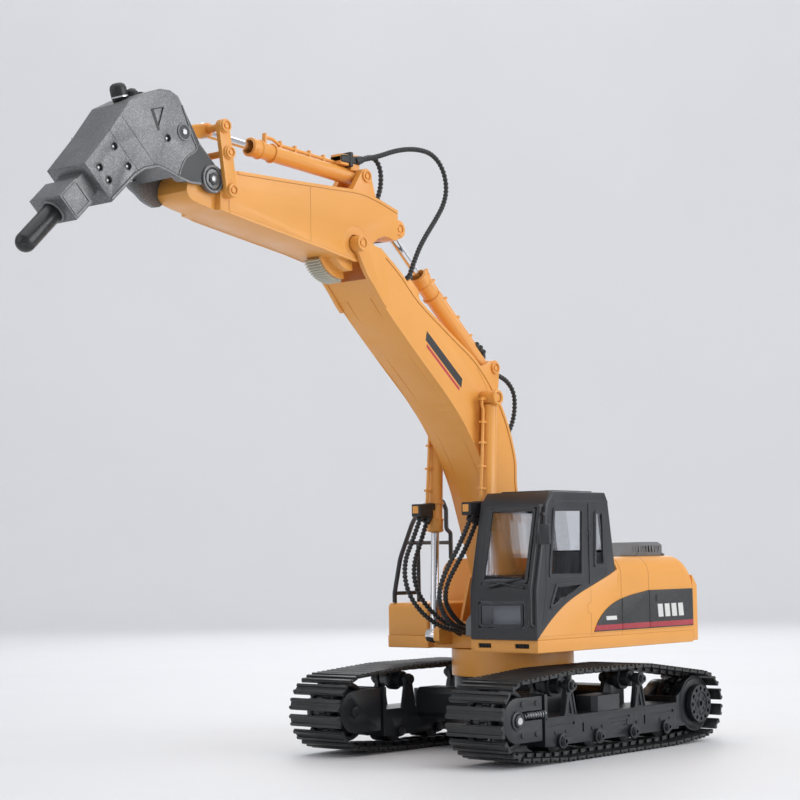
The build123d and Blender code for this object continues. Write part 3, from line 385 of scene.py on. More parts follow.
def frames_along(points):
    """Each point of a line with its side and up directions, without twist."""
    points = [Vector(p) for p in points]
    tangents = []
    for i in range(len(points)):
        a, b = points[max(i - 1, 0)], points[min(i + 1, len(points) - 1)]
        tangents.append((b - a).normalized())
    side = tangents[0].orthogonal().normalized()
    out = []
    for p, t in zip(points, tangents):
        side = (side - t * side.dot(t)).normalized()
        out.append((p, side, t.cross(side)))
    return out


def add_tube(bm, points, radius, sides):
    """A round tube along a line; radius is a number or one number per point."""
    radii = radius if isinstance(radius, list) else [radius] * len(points)
    rings = [ring_of(bm, p, side, up, r, sides) for (p, side, up), r in zip(frames_along(points), radii)]
    skin_rings(bm, rings)
    bm.faces.new(rings[0][::-1])
    bm.faces.new(rings[-1])


def smooth_line(points, radius, steps=6):
    """A line through points with its corners rounded to a radius."""
    nodes = [Vector(p) for p in points]
    out = [nodes[0]]
    for a, b, c in zip(nodes, nodes[1:], nodes[2:]):
        u, v = (a - b).normalized(), (c - b).normalized()
        half = u.angle(v) / 2
        reach = min(radius / math.tan(half), (a - b).length * 0.45, (c - b).length * 0.45)
        p, q = b + u * reach, b + v * reach
        for k in range(steps + 1):
            t = k / steps
            out.append(p * (1 - t) ** 2 + b * 2 * t * (1 - t) + q * t ** 2)
    return out + [nodes[-1]]


def between(start, end, distance, offset=0.0):
    """The (X, Z) point at a distance from start towards end, and off to the left of that line."""
    span = math.dist(start, end)
    ux, uz = (end[0] - start[0]) / span, (end[1] - start[1]) / span
    return (start[0] + ux * distance - uz * offset, start[1] + uz * distance + ux * offset)


def side_y(side, distance):
    """The Y at a distance from the boom's middle plane, on its left (1) or right (-1)."""
    return BOOM_Y + side * distance


# ---------------- hoses
HOSE_DIAMETER = 3.8
RIB_PITCH, RIB_DEPTH, RIB_SHARE = 2.9, 0.62, 0.72
HOSE_STEP = 0.35
CORDS_MEET = 36   # how far from the ram the two cords of a boom ram hose meet


def hose_line(route):
    """The smooth centreline of a route's NURBS spline, in millimetres."""
    curve = bpy.data.curves.new("route", "CURVE")
    curve.dimensions = "3D"
    curve.resolution_u = 24
    spline = curve.splines.new("NURBS")
    spline.points.add(len(route) - 1)
    for point, place in zip(spline.points, route):
        point.co = (*place, 1.0)
    spline.order_u = 3
    spline.use_endpoint_u = True
    holder = bpy.data.objects.new("route", curve)
    mesh = bpy.data.meshes.new_from_object(holder)
    line = [v.co.copy() for v in mesh.vertices]
    bpy.data.meshes.remove(mesh)
    bpy.data.objects.remove(holder)
    bpy.data.curves.remove(curve)
    return line


def even_line(line, step):
    """The line's points again, evenly spaced, with each one's distance from the start."""
    walked = [0.0]
    for a, b in zip(line, line[1:]):
        walked.append(walked[-1] + (b - a).length)
    count = max(2, round(walked[-1] / step))
    out, i = [], 0
    for k in range(count + 1):
        want = walked[-1] * k / count
        while i < len(walked) - 2 and walked[i + 1] < want:
            i += 1
        share = (want - walked[i]) / max(walked[i + 1] - walked[i], 1e-9)
        out.append((line[i].lerp(line[i + 1], share), want))
    return out


def ribbed_hose(name, node, points):
    """A corrugated hose: a smooth core with one rounded rib per pitch."""
    core = HOSE_DIAMETER / 2 - RIB_DEPTH
    bm = bmesh.new()
    radii = []
    for _, along in points:
        phase = (along / RIB_PITCH) % 1.0
        lift = math.sin(math.pi * phase / RIB_SHARE) if phase < RIB_SHARE else 0.0
        radii.append(core + RIB_DEPTH * lift ** 0.45)
    add_tube(bm, [p for p, _ in points], radii, 18)
    piece = finish_piece(name, bm, None, "hose_rubber", angle=80)
    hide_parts(node)
    return piece


ELBOW_HOSE = [(157, -4, 414.5), (140, -4.5, 419), (118, -4, 427.5), (97, -3.5, 431.5),
              (79, -3.5, 430.5), (67.5, -3.5, 421.5), (63.3, -3.5, 408), (67.5, -3, 395),
              (79, -2, 381.5), (92, 0, 369), (105, 2, 354.5), (115.5, 3, 335)]
TAIL_HOSE = [(157, -9.5, 413.5), (146, -9.5, 418.5), (136.5, -9.5, 420.5), (129.8, -9.5, 414),
             (129, -9.5, 404), (131.5, -9.5, 394), (136.5, -9.5, 385.5)]
BACK_HOSE = [(7, -9.2, 276), (-3, -9.2, 274.2), (-13, -9.2, 270), (-20, -9.2, 262),
             (-20.5, -9.2, 251), (-17.5, -9.2, 240), (-10, -9.2, 229.5), (0, -9.2, 219.5)]
RAM_HOSES = {
    "hose_right_outer": [(63, -34.2, 167.5), (71.5, -34.2, 152), (81, -33.5, 138.5), (85.2, -31, 125),
        (83.3, -28, 112), (76, -24, 100.5), (66, -19, 91.8), (55, -14.5, 87), (44, -12, 86)],
    "hose_right_inner": [(55.5, -34.2, 165.5), (63, -34.2, 149.5), (71.5, -33.5, 135.5), (73.8, -31.5, 122),
        (70, -28.5, 109.5), (61.5, -24.5, 99), (52, -20.5, 91.5), (43.5, -18.5, 87)],
    "hose_left_outer": [(67, 15.8, 166), (77, 14.5, 148.5), (88, 12.5, 134), (94.8, 10, 119.5),
        (93, 7.5, 107), (84.5, 5.5, 97.5), (72.5, 3.5, 91), (58.5, 2, 87.5), (44, 1.5, 86)],
    "hose_left_inner": [(60.5, 15.8, 163.5), (69, 14.5, 147.5), (79, 12.5, 134), (86.5, 9.5, 121),
        (85.5, 6.5, 109.5), (77, 3.5, 101.5), (66.5, 0.5, 95.5), (55, -3, 90.5), (44, -5, 87)]}


def make_hoses():
    """Three hoses across one joint, and four that cross two joints as two cords each."""
    for name, route, pair, start, end in (
            ("hose_elbow", ELBOW_HOSE, ("arm", "boom"), (90, -3, 416), (90, -3, 340)),
            ("hose_tail", TAIL_HOSE, ("bucket_ram_tube", "arm"), TAIL_HOSE[0], TAIL_HOSE[3]),
            ("hose_back", BACK_HOSE, ("stick_ram_tube", "boom"), BACK_HOSE[0], BACK_HOSE[3])):
        points = even_line(hose_line(route), HOSE_STEP)
        piece = ribbed_hose(f"{name}_ribbed", name, points)
        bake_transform(piece)
    for name, route in RAM_HOSES.items():
        points = even_line(hose_line(route), HOSE_STEP)
        cut = next(i for i, (_, along) in enumerate(points) if along > CORDS_MEET)
        upper, lower = points[:cut + 1], points[cut:]
        top = ribbed_hose(f"{name}_upper", name, upper)
        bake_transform(top)
        low = ribbed_hose(f"{name}_lower", name, lower)
        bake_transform(low)


make_hoses()


# ---------------- CAD nodes: finish and rounded edges
def dress_cad():
    """Gives every CAD node its finish, and rounds its sharp edges."""
    slots = {s["node"]: s["material_slot"] for s in frame["record"]["subparts"]}
    rounding = {"boom_shell": 0.7, "arm_shell": 0.7, "engine_cover": 0.6, "counterweight": 5.0, "deck": 0.6,
                "cab_shell": 0.5, "side_box": 0.5, "breaker_housing": 0.6, "slew_pedestal": 0.4,
                "boom_bracket": 0.5, "cab_seat": 0.8}
    segments = {"counterweight": 6}
    for name, node in NODES.items():
        node.data.materials.clear()
        node.data.materials.append(TRIM if name == "side_trim" else SLOT_MATERIAL[slots[name]])
        if name == "cab_glass" or name.startswith("hose_"):
            continue
        weld = node.modifiers.new("weld", "WELD")
        weld.merge_threshold = 0.000005
        flat = node.modifiers.new("flat", "DECIMATE")
        flat.decimate_type = "DISSOLVE"
        flat.angle_limit = math.radians(0.6)
        edge = node.modifiers.new("edges", "BEVEL")
        edge.width = rounding.get(name, 0.25) * MM
        edge.segments = segments.get(name, 3 if name in rounding else 2)
        edge.limit_method = "ANGLE"
        edge.angle_limit = math.radians(32)
        edge.harden_normals = True
        edge.use_clamp_overlap = True
        node.data.shade_smooth()


dress_cad()


# ---------------- detail helpers
def through(points, steps=6):
    """A smooth (X, Z) line through points."""
    out = []
    for i in range(len(points) - 1):
        a, b = Vector(points[max(i - 1, 0)]), Vector(points[i])
        c, d = Vector(points[i + 1]), Vector(points[min(i + 2, len(points) - 1)])
        for k in range(steps):
            t = k / steps
            out.append(tuple(0.5 * (2 * b + (c - a) * t + (2 * a - 5 * b + 4 * c - d) * t ** 2
                                    + (3 * b - a - 3 * c + d) * t ** 3)))
    return out + [tuple(points[-1])]


def shifted(line, distance, closed=False):
    """An (X, Z) line moved to its left by a distance."""
    count, out = len(line), []
    for i, p in enumerate(line):
        a = Vector(line[i - 1] if closed or i else p)
        b = Vector(line[(i + 1) % count] if closed or i < count - 1 else p)
        along, before, after = (b - a).normalized(), Vector(p) - a, b - Vector(p)
        left = Vector((-along.y, along.x))
        stretch = 1.0
        if before.length > 1e-9 and after.length > 1e-9:
            stretch = 1 / max(0.5, math.cos(before.angle(after) / 2))
        out.append(tuple(Vector(p) + left * distance * stretch))
    return out


def add_band(bm, line, near, far, y0, y1, closed=False):
    """A strip along an (X, Z) line between two distances to its left, and between two Y values."""
    a, b = shifted(line, near, closed), shifted(line, far, closed)
    rows = [[bm.verts.new(at(place, y)) for place, y in ((p, y0), (q, y0), (q, y1), (p, y1))]
            for p, q in zip(a, b)]
    skin_rings(bm, rows + rows[:1] if closed else rows)
    if not closed:
        bm.faces.new(rows[0][::-1])
        bm.faces.new(rows[-1])


def turn_to(bm, origin, across, up, out):
    """Moves verts from local (across, depth, up) axes into place: local -Y points out."""
    matrix = Matrix((Vector(across), -Vector(out), Vector(up))).transposed().to_4x4()
    bmesh.ops.transform(bm, matrix=Matrix.Translation(Vector(origin)) @ matrix, verts=bm.verts)


def layer(side, face, depth):
    """Y limits of a layer that starts just inside a face of the boom group and grows outwards."""
    return side_y(side, face - 0.2), side_y(side, face + depth)


def add_bands(bm, face, *bands):
    """Strips of (line, near, far, depth) on both side faces of the boom group."""
    for side in (1, -1):
        for line, near, far, depth in bands:
            add_band(bm, line, near, far, *layer(side, face, depth))


def house_skin(low, high):
    """Y limits measured outwards from the house's side."""
    return HOUSE_FACE + low, HOUSE_FACE + high


# ---------------- pins
def add_pin_ring(bm, centre, side, face, radius, depth):
    """A rounded rim round a sunken middle with a hexagonal head."""
    place, axis = at(centre, side_y(side, face)), (0, side, 0)
    add_loop(bm, place, axis, [(radius * 0.66, -0.2), (radius, -0.2), (radius, depth * 0.65),
                            (radius * 0.93, depth), (radius * 0.74, depth), (radius * 0.66, depth * 0.75)])
    add_turned(bm, place, axis, [(radius * 0.7, -0.2), (radius * 0.7, depth * 0.2), (0, depth * 0.2)])
    add_turned(bm, place, axis, [(radius * 0.44, 0), (radius * 0.44, depth * 0.7),
                                 (radius * 0.36, depth * 0.9), (0, depth * 0.9)], 6, 0.3)


def make_pins():
    """A cap on both ends of each pin, and open rims where the boom rams hang."""
    for name, body, centre, face, radius, depth in (
            ("elbow", "boom", ELBOW, 24.2, 5.3, 1.3), ("stick_base", "boom", STICK_RAM_BASE, 12, 4.6, 1.5),
            ("tail", "arm", STICK_RAM_END, 11.5, 4.6, 1.3),
            ("bucket_base", "arm", BUCKET_RAM_BASE, 11.5, 4.4, 1.5),
            ("link_top", "guide_links", LINK_TOP, 24.2, 4.1, 1.3),
            ("link_middle", "guide_links", LINK_MIDDLE, 24.2, 3.9, 1.2),
            ("link_foot", "arm", LINK_FOOT, 23.2, 4.3, 1.4), ("foot", "house", FOOT, 22.4, 8.5, 1.4),
            ("ram_foot", "house", BOOM_RAM_BASE, 29.4, 3.6, 1.2)):
        bm = bmesh.new()
        for side in (1, -1):
            add_pin_ring(bm, centre, side, face, radius, depth)
        finish_piece(f"pin_{name}", bm, body, "orange_plastic", bevel=0.15, angle=30)
    bm = bmesh.new()
    for side in (1, -1):
        add_loop(bm, at(BOOM_RAM_TOP, side_y(side, 30.1)), (0, side, 0),
                 [(3.5, 0), (5.6, 0), (5.6, 2.8), (5.2, 3.4), (4.0, 3.4), (3.5, 2.9)])
    finish_piece("pin_ram_top", bm, "boom", "orange_plastic", angle=30)


make_pins()


# ---------------- rams: glands, pipes and fittings
def add_pipe(bm, start, end, y, stops, clamps, radius=1.2):
    """A feed pipe beside a ram and the small bridges that hold it; stops are (distance, offset)."""
    route = [at(between(start, end, d, off), y) for d, off in stops]
    add_tube(bm, smooth_line(route, 2.5), radius, 12)
    for d, off in clamps:
        corners = [between(start, end, d - 0.8, 4.6), between(start, end, d - 0.8, off + 2.6),
                   between(start, end, d + 0.8, off + 2.6), between(start, end, d + 0.8, 4.6)]
        add_prism(bm, corners, y - 1.5, y + 1.5)


def make_rams():
    """On each tube a gland with the rod's bore, two collars and a feed pipe."""
    for name, body, start, end, y_values, length, bore, outer, stops, clamps in (
            ("boom_ram", "boom_ram_tubes", BOOM_RAM_TOP, BOOM_RAM_BASE,
             (side_y(1, BOOM_RAM_OUT), side_y(-1, BOOM_RAM_OUT)), 94,
             4.6, 5.9, [(1, 5), (1, 9), (5, 9.2), (9, 7.4), (40, 8), (77, 9.8)],
             [(1.6, 8.6), (18, 7.6), (33, 7.8), (50, 8.3), (66, 9)]),
            ("stick_ram", "stick_ram_tube", STICK_RAM_BASE, STICK_RAM_END, (BOOM_Y,), 94.6,
             5.2, 6.6, [(8, 7.8), (84, 8.2), (90, 9.6), (92.5, 9.6)],
             [(26, 7.8), (45, 8), (64, 8.2), (82, 8.2), (92, 8.4)]),
            ("bucket_ram", "bucket_ram_tube", BUCKET_RAM_BASE, LINK_TOP, (BOOM_Y,), 101,
             4.7, 6.1, [(20, 7.2), (74, 7.2), (81, 9.8), (89.5, 9.8)],
             [(32, 7.2), (46, 7.2), (60, 7.2), (74, 7.4), (88.5, 9.6)])):
        axis = Vector((end[0] - start[0], 0, end[1] - start[1])).normalized()
        bm = bmesh.new()
        for y in y_values:
            add_loop(bm, at(between(start, end, length), y), axis,
                     [(bore, -0.4), (outer + 0.3, -0.4), (outer + 0.3, 1.0), (outer - 0.2, 1.6),
                      (bore + 0.5, 1.6), (bore + 0.3, 2.0), (bore, 2.0)])
            for d in (length - 8, length - 20):
                add_loop(bm, at(between(start, end, d), y), axis,
                         [(outer - 1.2, 0), (outer + 0.2, 0), (outer + 0.5, 0.4), (outer + 0.5, 1.2),
                          (outer + 0.2, 1.6), (outer - 1.2, 1.6)])
            add_pipe(bm, start, end, y, stops, clamps)
        finish_piece(f"{name}_fittings", bm, body, "orange_plastic", bevel=0.12)


make_rams()


# ---------------- hose sockets and connector blocks
def add_socket(bm, face, beyond):
    """A black sleeve over the stub where a hose ends."""
    a, b = Vector(face), Vector(beyond)
    add_turned(bm, a, a - b, [(2.05, -1.6), (2.7, -1.2), (2.9, 0.8), (2.75, 1.2), (2.75, 1.8), (3.1, 2.2),
                              (3.1, 5.6), (2.7, 6.3), (0, 6.3)], 24)


def make_hose_sockets():
    for body, ends in (
            ("bucket_ram_tube", [ELBOW_HOSE[:2], TAIL_HOSE[:2]]),
            ("boom", [(ELBOW_HOSE[-1], ELBOW_HOSE[-2]), (BACK_HOSE[-1], (-9, BOOM_Y, 231.7))]),
            ("arm", [(TAIL_HOSE[-1], TAIL_HOSE[-2])]), ("stick_ram_tube", [BACK_HOSE[:2]]),
            ("boom_ram_tubes", [h[:2] for h in RAM_HOSES.values()]),
            ("house", [h[:-3:-1] for h in RAM_HOSES.values()])):
        bm = bmesh.new()
        for face, beyond in ends:
            add_socket(bm, face, beyond)
        finish_piece(f"sockets_{body}", bm, body, "hose_rubber")


def make_connectors():
    """The blocks that carry the hose ends on the rams; a boom ram's is (middle Y, back X, front X)."""
    boom_rams = ((15.8, 56.5, 71.8), (-34.2, 52.5, 67.8))
    bm = bmesh.new()
    for y, back, front in boom_rams:
        add_block(bm, back, front, y - 4.2, y + 4.2, 168.8, 178.2)
        add_block(bm, back - 3, back + 4, y - 3.8, y + 3.8, 173.5, 178.9)
    finish_piece("ram_connectors", bm, "boom_ram_tubes", "hose_rubber", bevel=0.8, angle=40)
    bm = bmesh.new()
    for y, _, front in boom_rams:
        add_block(bm, front, front + 0.5, y - 2.6, y + 2.6, 171.4, 176.6)
    finish_piece("ram_connector_plugs", bm, "boom_ram_tubes", "orange_plastic", bevel=0.4, angle=40)
    bm = bmesh.new()
    add_prism(bm, rounded([(157, 409.2), (179.2, 409.2), (179.2, 416.4), (170, 417.6), (157, 416.2)], 2.2),
              -12.9, -2.2)
    add_prism(bm, rounded([(166.5, 408.2), (169.5, 408.2), (169.5, 418.2), (166.5, 418.2)], 0.8),
              -13.6, -1.6)
    finish_piece("bucket_connector", bm, "bucket_ram_tube", "hose_rubber", bevel=0.9, angle=40)
    bm = bmesh.new()
    elbow = [at(between(STICK_RAM_BASE, STICK_RAM_END, d, off), BOOM_Y)
             for d, off in ((17, 7.9), (9.5, 9.5), (6, 8), (4, 4))]
    add_tube(bm, smooth_line(elbow, 2.5), 2.5, 18)
    for d, off in ((8, 9.2), (12.5, 9.2), (17, 7.9)):
        add_loop(bm, at(between(STICK_RAM_BASE, STICK_RAM_END, d, off), BOOM_Y), (0.757, 0, 0.654),
                 [(2.2, -0.8), (3.2, -0.8), (3.5, 0), (3.2, 0.8), (2.2, 0.8)], 20)
    finish_piece("stick_connector", bm, "stick_ram_tube", "hose_rubber")


make_hose_sockets()
make_connectors()


# ---------------- boom and arm
BOOM_TOP = [(-8.5, 119), (3.8, 186), (5.5, 213), (19.5, 247), (45.2, 277.3), (79, 298.7), (111.6, 318.8),
            (132.7, 337.2), (153.4, 351.8)]
BOOM_LOW = [(9.5, 119), (26.4, 166.7), (38.5, 196.1), (58.3, 226.6), (80.3, 250.7), (112.6, 278.5),
            (141.9, 304.3), (155, 317)]
ARM_TOP = [(132.8, 380.2), (151.6, 385.5), (166, 388.5), (177.1, 389.1), (240.6, 387.2), (288, 386.2)]
ARM_LOW = [(163.5, 349.2), (168, 344.5), (173, 341), (180, 340.4), (194.5, 342.6), (209, 345.3),
           (231.5, 348.6), (277, 355.4), (295.1, 358.2)]


def make_boom_details():
    """Raised rims along the side plates' edges, seam lines beside them and ribs under the boom."""
    bm = bmesh.new()
    top, low = through(BOOM_TOP)[4:], through(BOOM_LOW)[2:]
    add_bands(bm, BOOM_FACE, (top, -2.0, 0.25, 0.5), (low, -0.15, 1.6, 0.3))
    finish_piece("boom_rims", bm, "boom", "orange_plastic", bevel=0.15)
    bm = bmesh.new()
    add_bands(bm, BOOM_FACE, (top, -2.35, -1.95, 0.06), (low, 1.55, 1.8, 0.05),
              ([(49, 276), (38, 262), (33, 242), (33, 222)], -0.15, 0.15, 0.05))
    finish_piece("boom_lines", bm, "boom", "orange_plastic", SEAM)
    bm = bmesh.new()
    floor = through(BOOM_LOW, 8)[8:]
    for y0, y1 in ((-20.6, -19.8), (1.4, 2.2)):
        add_band(bm, floor, -0.12, 0.3, y0, y1)
    finish_piece("boom_floor_ribs", bm, "boom", "orange_plastic", bevel=0.1)


def make_arm_details():
    bm = bmesh.new()
    add_bands(bm, ARM_FACE, (ARM_TOP, -1.9, 0.2, 0.45), (ARM_LOW, -0.2, 1.5, 0.3))
    finish_piece("arm_rims", bm, "arm", "orange_plastic", bevel=0.15)
    bm = bmesh.new()
    add_bands(bm, ARM_FACE, (ARM_TOP, -2.2, -1.85, 0.06), (ARM_LOW, 1.45, 1.7, 0.05),
              ([(221, 348.4), (221, 386)], -0.15, 0.15, 0.05),
              ([(296, 360), (296, 383.6)], -0.25, 0.25, 0.06))
    finish_piece("arm_lines", bm, "arm", "orange_plastic", SEAM)
    bm = bmesh.new()
    for side in (1, -1):
        add_loop(bm, at(ELBOW, side_y(side, 16.6)), (0, side, 0),
                 [(6.2, 0), (12.2, 0), (12.2, 1.35), (6.5, 1.35), (6.2, 1.1)], 60)
    finish_piece("elbow_covers", bm, "arm", "orange_plastic")


def add_bar(bm, origin, axes, along, up, slant, y_limits):
    """A slanted bar between two distances along and two distances up, on a pair of (X, Z) axes."""
    corners = []
    for s, t in ((along[0], up[0]), (along[1], up[0]), (along[1], up[1]), (along[0], up[1])):
        corners.append(tuple(Vector(origin) + Vector(axes[0]) * (s + slant * t) + Vector(axes[1]) * t))
    add_prism(bm, corners, *y_limits)


def make_decals():
    """Plain slanted bars where the machine carries its stickers."""
    origin, axes = (106.3, 291.0), ((-0.775, -0.632), (-0.632, 0.775))
    dark, red = bmesh.new(), bmesh.new()
    for side in (1, -1):
        skin = layer(side, BOOM_FACE, 0.10)
        add_bar(dark, origin, axes, (0, 50), (0.6, 6.6), -0.5, skin)
        add_bar(red, origin, axes, (2, 48), (-2.6, -0.6), -0.5, skin)
    finish_piece("boom_stripes_dark", dark, "boom", "black_plastic", DECAL, smooth=False)
    finish_piece("boom_stripes_red", red, "boom", "orange_plastic", DECAL_RED, smooth=False)
    bm = bmesh.new()
    axes, skin = ((-1, 0), (0, 1)), house_skin(0.55, 0.8)
    for k in range(4):
        add_bar(bm, (-70 - 9.2 * k, 93.2), axes, (0, 6.4), (0, 9.5), -0.12, skin)
    add_bar(bm, (-3, 93.0), axes, (0, 13), (0, 2.8), -0.2, skin)
    finish_piece("trim_marks", bm, "house", "black_plastic", MARK, smooth=False)


make_boom_details()
make_arm_details()
make_decals()


# ---------------- breaker
PLATE_LOW = [(392.0, 354.0), (373.4, 371.8), (366.2, 376.2), (355.6, 379.3), (347.2, 377.6),
             (337.6, 374.6), (328.6, 372.9), (319.5, 373.2)]
BREAKER_BOLTS = ((390.1, 386.9), (401.4, 372.5), (379.2, 376.4), (394.4, 365.8), (347.2, 398.5))


def chisel_place(along, across):
    """The (X, Z) point at distances along and across the chisel from its mouth."""
    half = math.sqrt(0.5)
    return (CHISEL_MOUTH[0] + half * (along + across), CHISEL_MOUTH[1] + half * (across - along))


def make_breaker_rims():
    """Raised rims round the hub, the knee, the bolts and the plates' edges."""
    bm = bmesh.new()
    for side in (1, -1):
        y, axis = side_y(side, BREAKER_FACE), (0, side, 0)
        add_loop(bm, at(NOSE, y), axis,
                 [(7.0, -0.3), (9.1, -0.3), (9.1, 0.9), (8.7, 1.4), (7.5, 1.4), (7.0, 0.8)])
        add_loop(bm, at(KNEE, y), axis,
                 [(4.0, -0.3), (5.6, -0.3), (5.4, 0.7), (4.3, 0.7), (4.0, 0.2)])
        add_band(bm, PLATE_LOW, -1.3, 0.1, *layer(side, BREAKER_FACE, 0.45))
        for line in ([(384.2, 406.4), (356.4, 379.4)], [(394.0, 396.4), (370.2, 374.0)]):
            add_band(bm, line, -0.3, 0.3, *layer(side, BREAKER_FACE, 0.18))
        add_band(bm, through([(338.4, 374.8), (336.3, 381.3), (331.7, 388.7), (323.3, 395), (326.5, 402),
                              (331.5, 413), (335.5, 421)], 5), -0.5, 0.5, *layer(side, BREAKER_FACE, 0.5))
        for place in BREAKER_BOLTS:
            add_loop(bm, at(place, y), axis,
                     [(2.2, -0.3), (2.9, -0.3), (2.8, 0.15), (2.4, 0.3), (2.2, 0.1)], 24)
        block = [chisel_place(*p) for p in ((-16.4, -7.5), (-1.6, -7.5), (-1.6, 8.5), (-16.4, 8.5))]
        add_band(bm, rounded(block, 1.5), -0.6, 0.6, *layer(side, NOSE_BLOCK_FACE, 0.45), closed=True)
    finish_piece("breaker_rims", bm, "breaker", "cast_grey", bevel=0.12)


def make_breaker_dark_and_shade_parts():
    """A flat dark sheet of painted shade where the recess behind the hub lies, nuts, bolt holes and lines,
    and the bolts themselves.
    """
    dark = bmesh.new()
    bolts = bmesh.new()
    for side in (1, -1):
        y, axis = side_y(side, BREAKER_FACE), (0, side, 0)
        # painted shade: a flat near-black sheet just proud of the plate stands for the shaded recess behind
        # the hub
        shade_sheet = layer(side, BREAKER_FACE, 0.12)
        add_prism(dark, [(338, 374.9), (336, 381.3), (331.4, 388.5), (323.3, 394.8), (321, 398.6),
                         (304.3, 384.3), (302, 379), (303, 373), (309, 369.8), (317.5, 374.6),
                         (328.6, 373.6)], *shade_sheet)
        add_prism(dark, [(323.4, 395.4), (326.3, 402), (331, 413), (335, 420.5), (320.7, 399.4)], *shade_sheet)
        add_band(dark, PLATE_LOW, -1.9, -1.3, *layer(side, BREAKER_FACE, 0.08))
        add_turned(dark, at(NOSE, y), axis, [(4.3, 0.8), (4.3, 1.5), (3.9, 1.8), (0, 1.8)], 6, 0.2)
        add_turned(dark, at(KNEE, y), axis, [(4.4, -0.2), (4.4, 0.2), (3.9, 0.5), (0, 0.5)], 32)
        for end, right in (((355.4, 401.6), -2.2), ((350.4, 417.3), -0.3)):
            add_band(dark, [(361, 414.2), end], right, 0.3, *layer(side, BREAKER_FACE, 0.06))
        for place in BREAKER_BOLTS:
            add_turned(dark, at(place, y), axis, [(2.3, -1.9), (2.3, -1.5), (0, -1.5)], 24)
            add_turned(bolts, at(place, y), axis, [(1.0, -1.7), (1.0, -1.0), (0.7, -0.8), (0, -0.8)], 20)
        add_turned(bolts, at(NOSE, y), axis, [(2.2, 1.5), (2.2, 1.85), (1.8, 2.0), (0, 2.0)], 6, 0.5)
        add_turned(bolts, at(KNEE, y), axis, [(2.2, 0.2), (2.2, 0.9), (1.7, 1.3), (0, 1.3)], 6, 0.2)
    finish_piece("breaker_dark_parts_and_shade", dark, "breaker", "frame_plastic", bevel=0.1)
    finish_piece("breaker_bolts", bolts, "breaker", "spring_steel")


def make_breaker_ends():
    """The rounded fitting on top with its bright band, and the collar at the chisel's mouth."""
    bm = bmesh.new()
    fitting, tilt = (371.4, BOOM_Y, 425.6), Vector((0.28, 0, 0.96))
    add_turned(bm, fitting, tilt, [(0, -6.6), (2.6, -6.4), (4.6, -5.0), (5.3, -2.5), (5.3, 2.5), (4.6, 4.6),
                                   (2.8, 5.8), (0, 6.1)])
    add_turned(bm, (360.5, BOOM_Y, 425.2), (0.3, 0, 0.95),
               [(0, -5), (3.2, -4), (4.4, -1), (4.2, 2), (2.6, 4.4), (0, 5.2)])
    add_turned(bm, (353.8, BOOM_Y, 425.6), (-0.1, 0, 1),
               [(0, -4), (3, -3), (3.9, 0), (3.2, 2.6), (0, 4)])
    finish_piece("breaker_top_fitting", bm, "breaker", "hose_rubber", angle=50)
    bm = bmesh.new()
    add_loop(bm, fitting, tilt, [(5.1, -3.3), (5.5, -3.1), (5.5, -2.3), (5.1, -2.1)], 40)
    finish_piece("breaker_fitting_band", bm, "breaker", "rod_steel", angle=50)
    bm = bmesh.new()
    mouth = at(CHISEL_MOUTH, BOOM_Y)
    add_loop(bm, mouth, (1, 0, -1), [(6.6, -0.8), (8.4, -0.8), (8.2, 0.5), (7.4, 1.0), (6.6, 1.0)])
    finish_piece("chisel_collar", bm, "breaker", "cast_grey")


make_breaker_rims()
make_breaker_dark_and_shade_parts()
make_breaker_ends()


# ---------------- cab
CAB_FRONT, CAB_INNER_FACE, CAB_TOP = 79.2, 23.5, 184


def make_cab_side_frames():
    """Gaskets round the side windows, the pillar's strip and the drip rail."""
    bm = bmesh.new()
    for outline in ([(57.6, 172.3), (22, 172.6), (23.9, 124.4), (64, 124.8)],
                    [(8.6, 170.6), (-2.5, 170.6), (-3.2, 131), (10, 131)],
                    [(56, 119.8), (27, 119.8), (27, 117.2), (41, 112.5), (66, 100)]):
        add_band(bm, rounded(outline, 2.4), -1.5, 0.7, *house_skin(-0.8, 0.55), closed=True)
    add_band(bm, rounded([(57, 172.3), (-2, 172.3), (-4, 124), (64, 124)], 2.4), -1.5, 0.7,
             CAB_INNER_FACE - 0.55, CAB_INNER_FACE + 0.8, closed=True)
    add_band(bm, [(15.4, 176), (15.6, 119)], -0.8, 0.8, *house_skin(-0.2, 0.5))
    add_band(bm, [(58.5, 177.5), (-8, 177.2)], -0.5, 0.5, *house_skin(-0.2, 0.4))
    finish_piece("cab_side_frames", bm, "house", "black_plastic", bevel=0.2)


def make_cab_front_frames():
    """Gaskets and wipers of the leaning windshield, and the gasket of the low front window."""
    bm = bmesh.new()
    add_band(bm, rounded([(33.5, 4.1), (74.5, 4.1), (74.5, 58.5), (33.5, 58.5)], 3.2), -1.8, 0.5, -0.8, 0.8,
             closed=True)
    for foot, tip in (((72, 1.2), (43, 6.2)), ((41, 1.6), (70, 8.4))):
        middle, heel = Vector(foot).lerp(Vector(tip), 0.5), Vector(foot).lerp(Vector(tip), 0.65)
        add_tube(bm, [(foot[0], -1.9, foot[1]), (middle.x, -2.4, middle.y), (tip[0], -2.0, tip[1])],
                 [0.9, 0.75, 0.6], 10)
        add_band(bm, [(heel.x, heel.y - 0.5), (tip[0], tip[1] - 0.5)], -0.35, 0.35, -2.0, -0.9)
    lean = (0.2226, 0.9749)
    turn_to(bm, (CAB_FRONT, 0, 116), (0, 1, 0), (-lean[0], 0, lean[1]), (lean[1], 0, lean[0]))
    finish_piece("cab_windshield_frame", bm, "house", "black_plastic", bevel=0.15)
    bm = bmesh.new()
    add_band(bm, rounded([(31.5, 90), (71.5, 90), (71.5, 108), (31.5, 108)], 3.2), -1.5, 0.5, -0.7, 0.8,
             closed=True)
    turn_to(bm, (CAB_FRONT, 0, 0), (0, 1, 0), (0, 0, 1), (1, 0, 0))
    finish_piece("cab_low_frame", bm, "house", "black_plastic", bevel=0.2)


